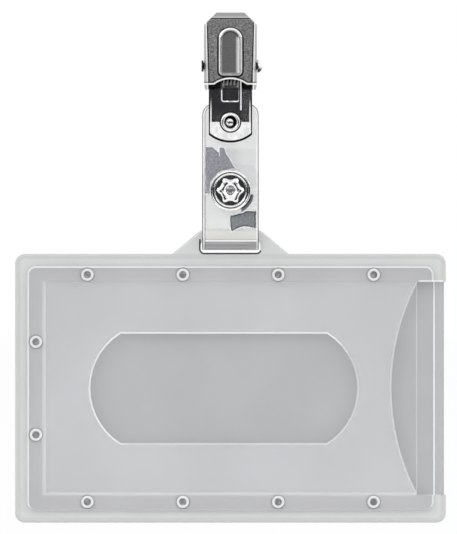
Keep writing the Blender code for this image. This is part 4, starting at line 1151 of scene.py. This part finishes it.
# Painted shade on the pocket floor and its lip.
sunk = step_between(tree, y, POCKET_LEVEL - MASK_SOFT, POCKET_LEVEL + MASK_SOFT)
lip = both_of(tree, sunk, step_between(tree, x, LIP_SIDE - MASK_SOFT, LIP_SIDE + MASK_SOFT))
rim_depth = least(tree, [inside_end(tree, HOLDER_HALF, HOLDER_TOP, HOLDER_ROUND, 1.0),
                         inside_end(tree, HOLDER_HALF, HOLDER_FOOT, HOLDER_ROUND, -1.0)])
border = both_of(tree, step_between(tree, rim_depth, *BORDER_WIDTH),
                 step_between(tree, z, HOLDER_TOP + MASK_SOFT, HOLDER_TOP))
inner = within(tree, x, z, INNER_SIDES, INNER_HEIGHT)
at_slot = within(tree, x, z, AT_SLOT_SIDES, AT_SLOT_HEIGHT)
gleam = both_of(tree, edges, any_of(tree, inner, at_slot))
inner_step = both_of(tree, gleam, step_between(tree, x, *INNER_STEP_ENDS), inner)
slot_ring = bump_between(tree, inside_end(tree, SLOT_HALF, SLOT_FOOT, SLOT_ROUND, -1.0), *SLOT_RING)
low_or_left = any_of(tree, step_between(tree, z, *SLOT_LOW), step_between(tree, x, *SLOT_LEFT))
shade = both_of(tree, slot_ring, low_or_left, at_slot)
shown = painted(tree, clouded(tree, SHELL_FLANGE),
                [(border, SHELL_BORDER), (sunk, clouded(tree, SHELL_FLOOR)), (lip, SHELL_LIP),
                 (gleam, SHELL_GLEAM), (inner_step, SHELL_STEP), (entry_line(tree), SHELL_GLEAM),
                 (shade, SHELL_SHADE)])
solid = mix_value(tree, any_of(tree, gleam, shade), SHELL_ALPHA, EDGE_ALPHA)
feed(tree, shader, Base_Color=shown, Alpha=solid)
dress("rear_shell", material, SHELL_SOFTEN, segments=3)

# Front panel: the pocket's front wall, moulded in the same plastic with the thumb window and the finger notch
# and held by the pegs. Over the pocket it looks lighter than where it lies on the shell's rim, and light
# gathers along the pocket's left and lower sides and in the window's upper edge. Painted highlights make the
# window's left edges brighter, painted shade darkens the edges that face down outside the pocket, and pale
# rings of painted light lie round the peg heads.
PANEL_MILK = (0.71, 0.73, 0.745, 1.0)
PANEL_RIM = (0.54, 0.54, 0.555, 1.0)
PANEL_OUTLINE = (0.72, 0.72, 0.73, 1.0)
PANEL_OUTLINE_LOW = (0.52, 0.52, 0.53, 1.0)
WINDOW_EDGE = (0.60, 0.605, 0.62, 1.0)
WINDOW_BRIGHT = (0.80, 0.80, 0.81, 1.0)
PEG_HALO_LIGHT = (0.86, 0.86, 0.87, 1.0)
PANEL_ALPHA = (0.5, 0.3)
PANEL_EDGE_ALPHA = 0.8
POCKET_SIDES = (-48.1 * MM, 47.6 * MM)
POCKET_HEIGHT = (-123.55 * MM, ENTRY_TOP)
POCKET_LEFT_LINE = (POCKET_SIDES[0] + 0.9 * MM, POCKET_SIDES[0] + 0.7 * MM)
POCKET_FOOT_LINE = (POCKET_HEIGHT[0] + 0.7 * MM, POCKET_HEIGHT[0] + 0.5 * MM)
WINDOW_LEFT = (-26.0 * MM, -30.0 * MM)
FACING_DOWN = (-0.3, -0.6)
PEG_NUMBERS = range(1, 11)
PEG_REACH = 1.6 * MM
PEG_HALO_EDGE = (0.42 * MM, 0.05 * MM)
material, tree, shader = blank_material("panel_plastic")
frost(tree, shader)
x, y, z = axes_of(tree)
over_pocket = within(tree, x, z, POCKET_SIDES, POCKET_HEIGHT)
peg_boxes = [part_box("shell_peg_%02d" % number) for number in PEG_NUMBERS]
peg_centres = [((low[0] + high[0]) / 2, (low[2] + high[2]) / 2) for low, high in peg_boxes]
past_peg = least(tree, [beyond_circle(tree, x, z, centre, PEG_REACH) for centre in peg_centres])
# Painted light: pale rings round the peg heads.
peg_halos = step_between(tree, past_peg, *PEG_HALO_EDGE)
edges = edge_facing(tree)
# Painted highlight on the window's left edges; outside the pocket, edges that face down get painted shade.
edge_colour = mix_colour(tree, step_between(tree, x, *WINDOW_LEFT), WINDOW_EDGE, WINDOW_BRIGHT)
facing_down = step_between(tree, axes_of(tree, "Normal")[2], *FACING_DOWN)
edge_colour = mix_colour(tree, facing_down, edge_colour, SHELL_GLEAM)
outline_colour = mix_colour(tree, facing_down, PANEL_OUTLINE, PANEL_OUTLINE_LOW)
edge_colour = mix_colour(tree, over_pocket, outline_colour, edge_colour)
pocket_line = any_of(tree, step_between(tree, x, *POCKET_LEFT_LINE), step_between(tree, z, *POCKET_FOOT_LINE))
milk = mix_colour(tree, pocket_line, clouded(tree, PANEL_MILK), SHELL_GLEAM)
shown = painted(tree, clouded(tree, PANEL_RIM), [(over_pocket, milk), (edges, edge_colour),
                                                 (entry_line(tree), SHELL_GLEAM), (peg_halos, PEG_HALO_LIGHT)])
edge_solid = maths(tree, "MULTIPLY", edges, PANEL_EDGE_ALPHA)
solid = any_of(tree, mix_value(tree, over_pocket, *PANEL_ALPHA), edge_solid)
feed(tree, shader, Base_Color=shown, Alpha=solid)
dress("front_panel", material)

# Pegs: ten moulded pegs that hold the two shells together, with a pale rim and a dimple in each head. The
# dimple's dark colour is painted shade, and the rim has a painted highlight on its upper right.
PEG_RIM = (0.66, 0.66, 0.67, 1.0)
PEG_RIM_BRIGHT = (0.92, 0.92, 0.93, 1.0)
PEG_DIMPLE = (0.16, 0.16, 0.165, 1.0)
PEG_DIMPLE_PALE = (0.33, 0.33, 0.335, 1.0)
DIMPLE_LEVEL = 1.15 * MM
DIMPLE_GRAIN = 1400
UPPER_RIGHT_FACING = (0.0, 0.7)
material, tree, shader = blank_material("peg_plastic")
frost(tree, shader)
x, y, z = axes_of(tree)
nx, _, nz = axes_of(tree, "Normal")
sunk = step_between(tree, y, DIMPLE_LEVEL - LINE_SOFT, DIMPLE_LEVEL + LINE_SOFT)
# Painted highlight on the rim's upper right.
upper_right = step_between(tree, maths(tree, "ADD", nx, nz), *UPPER_RIGHT_FACING)
rim = mix_colour(tree, upper_right, PEG_RIM, PEG_RIM_BRIGHT)
# Painted shade in the dimple, with paler grain.
dimple = mix_colour(tree, grain(tree, DIMPLE_GRAIN, low=0.45, high=0.65), PEG_DIMPLE, PEG_DIMPLE_PALE)
feed(tree, shader, Base_Color=mix_colour(tree, sunk, rim, dimple))
for number in PEG_NUMBERS:
    dress("shell_peg_%02d" % number, material)
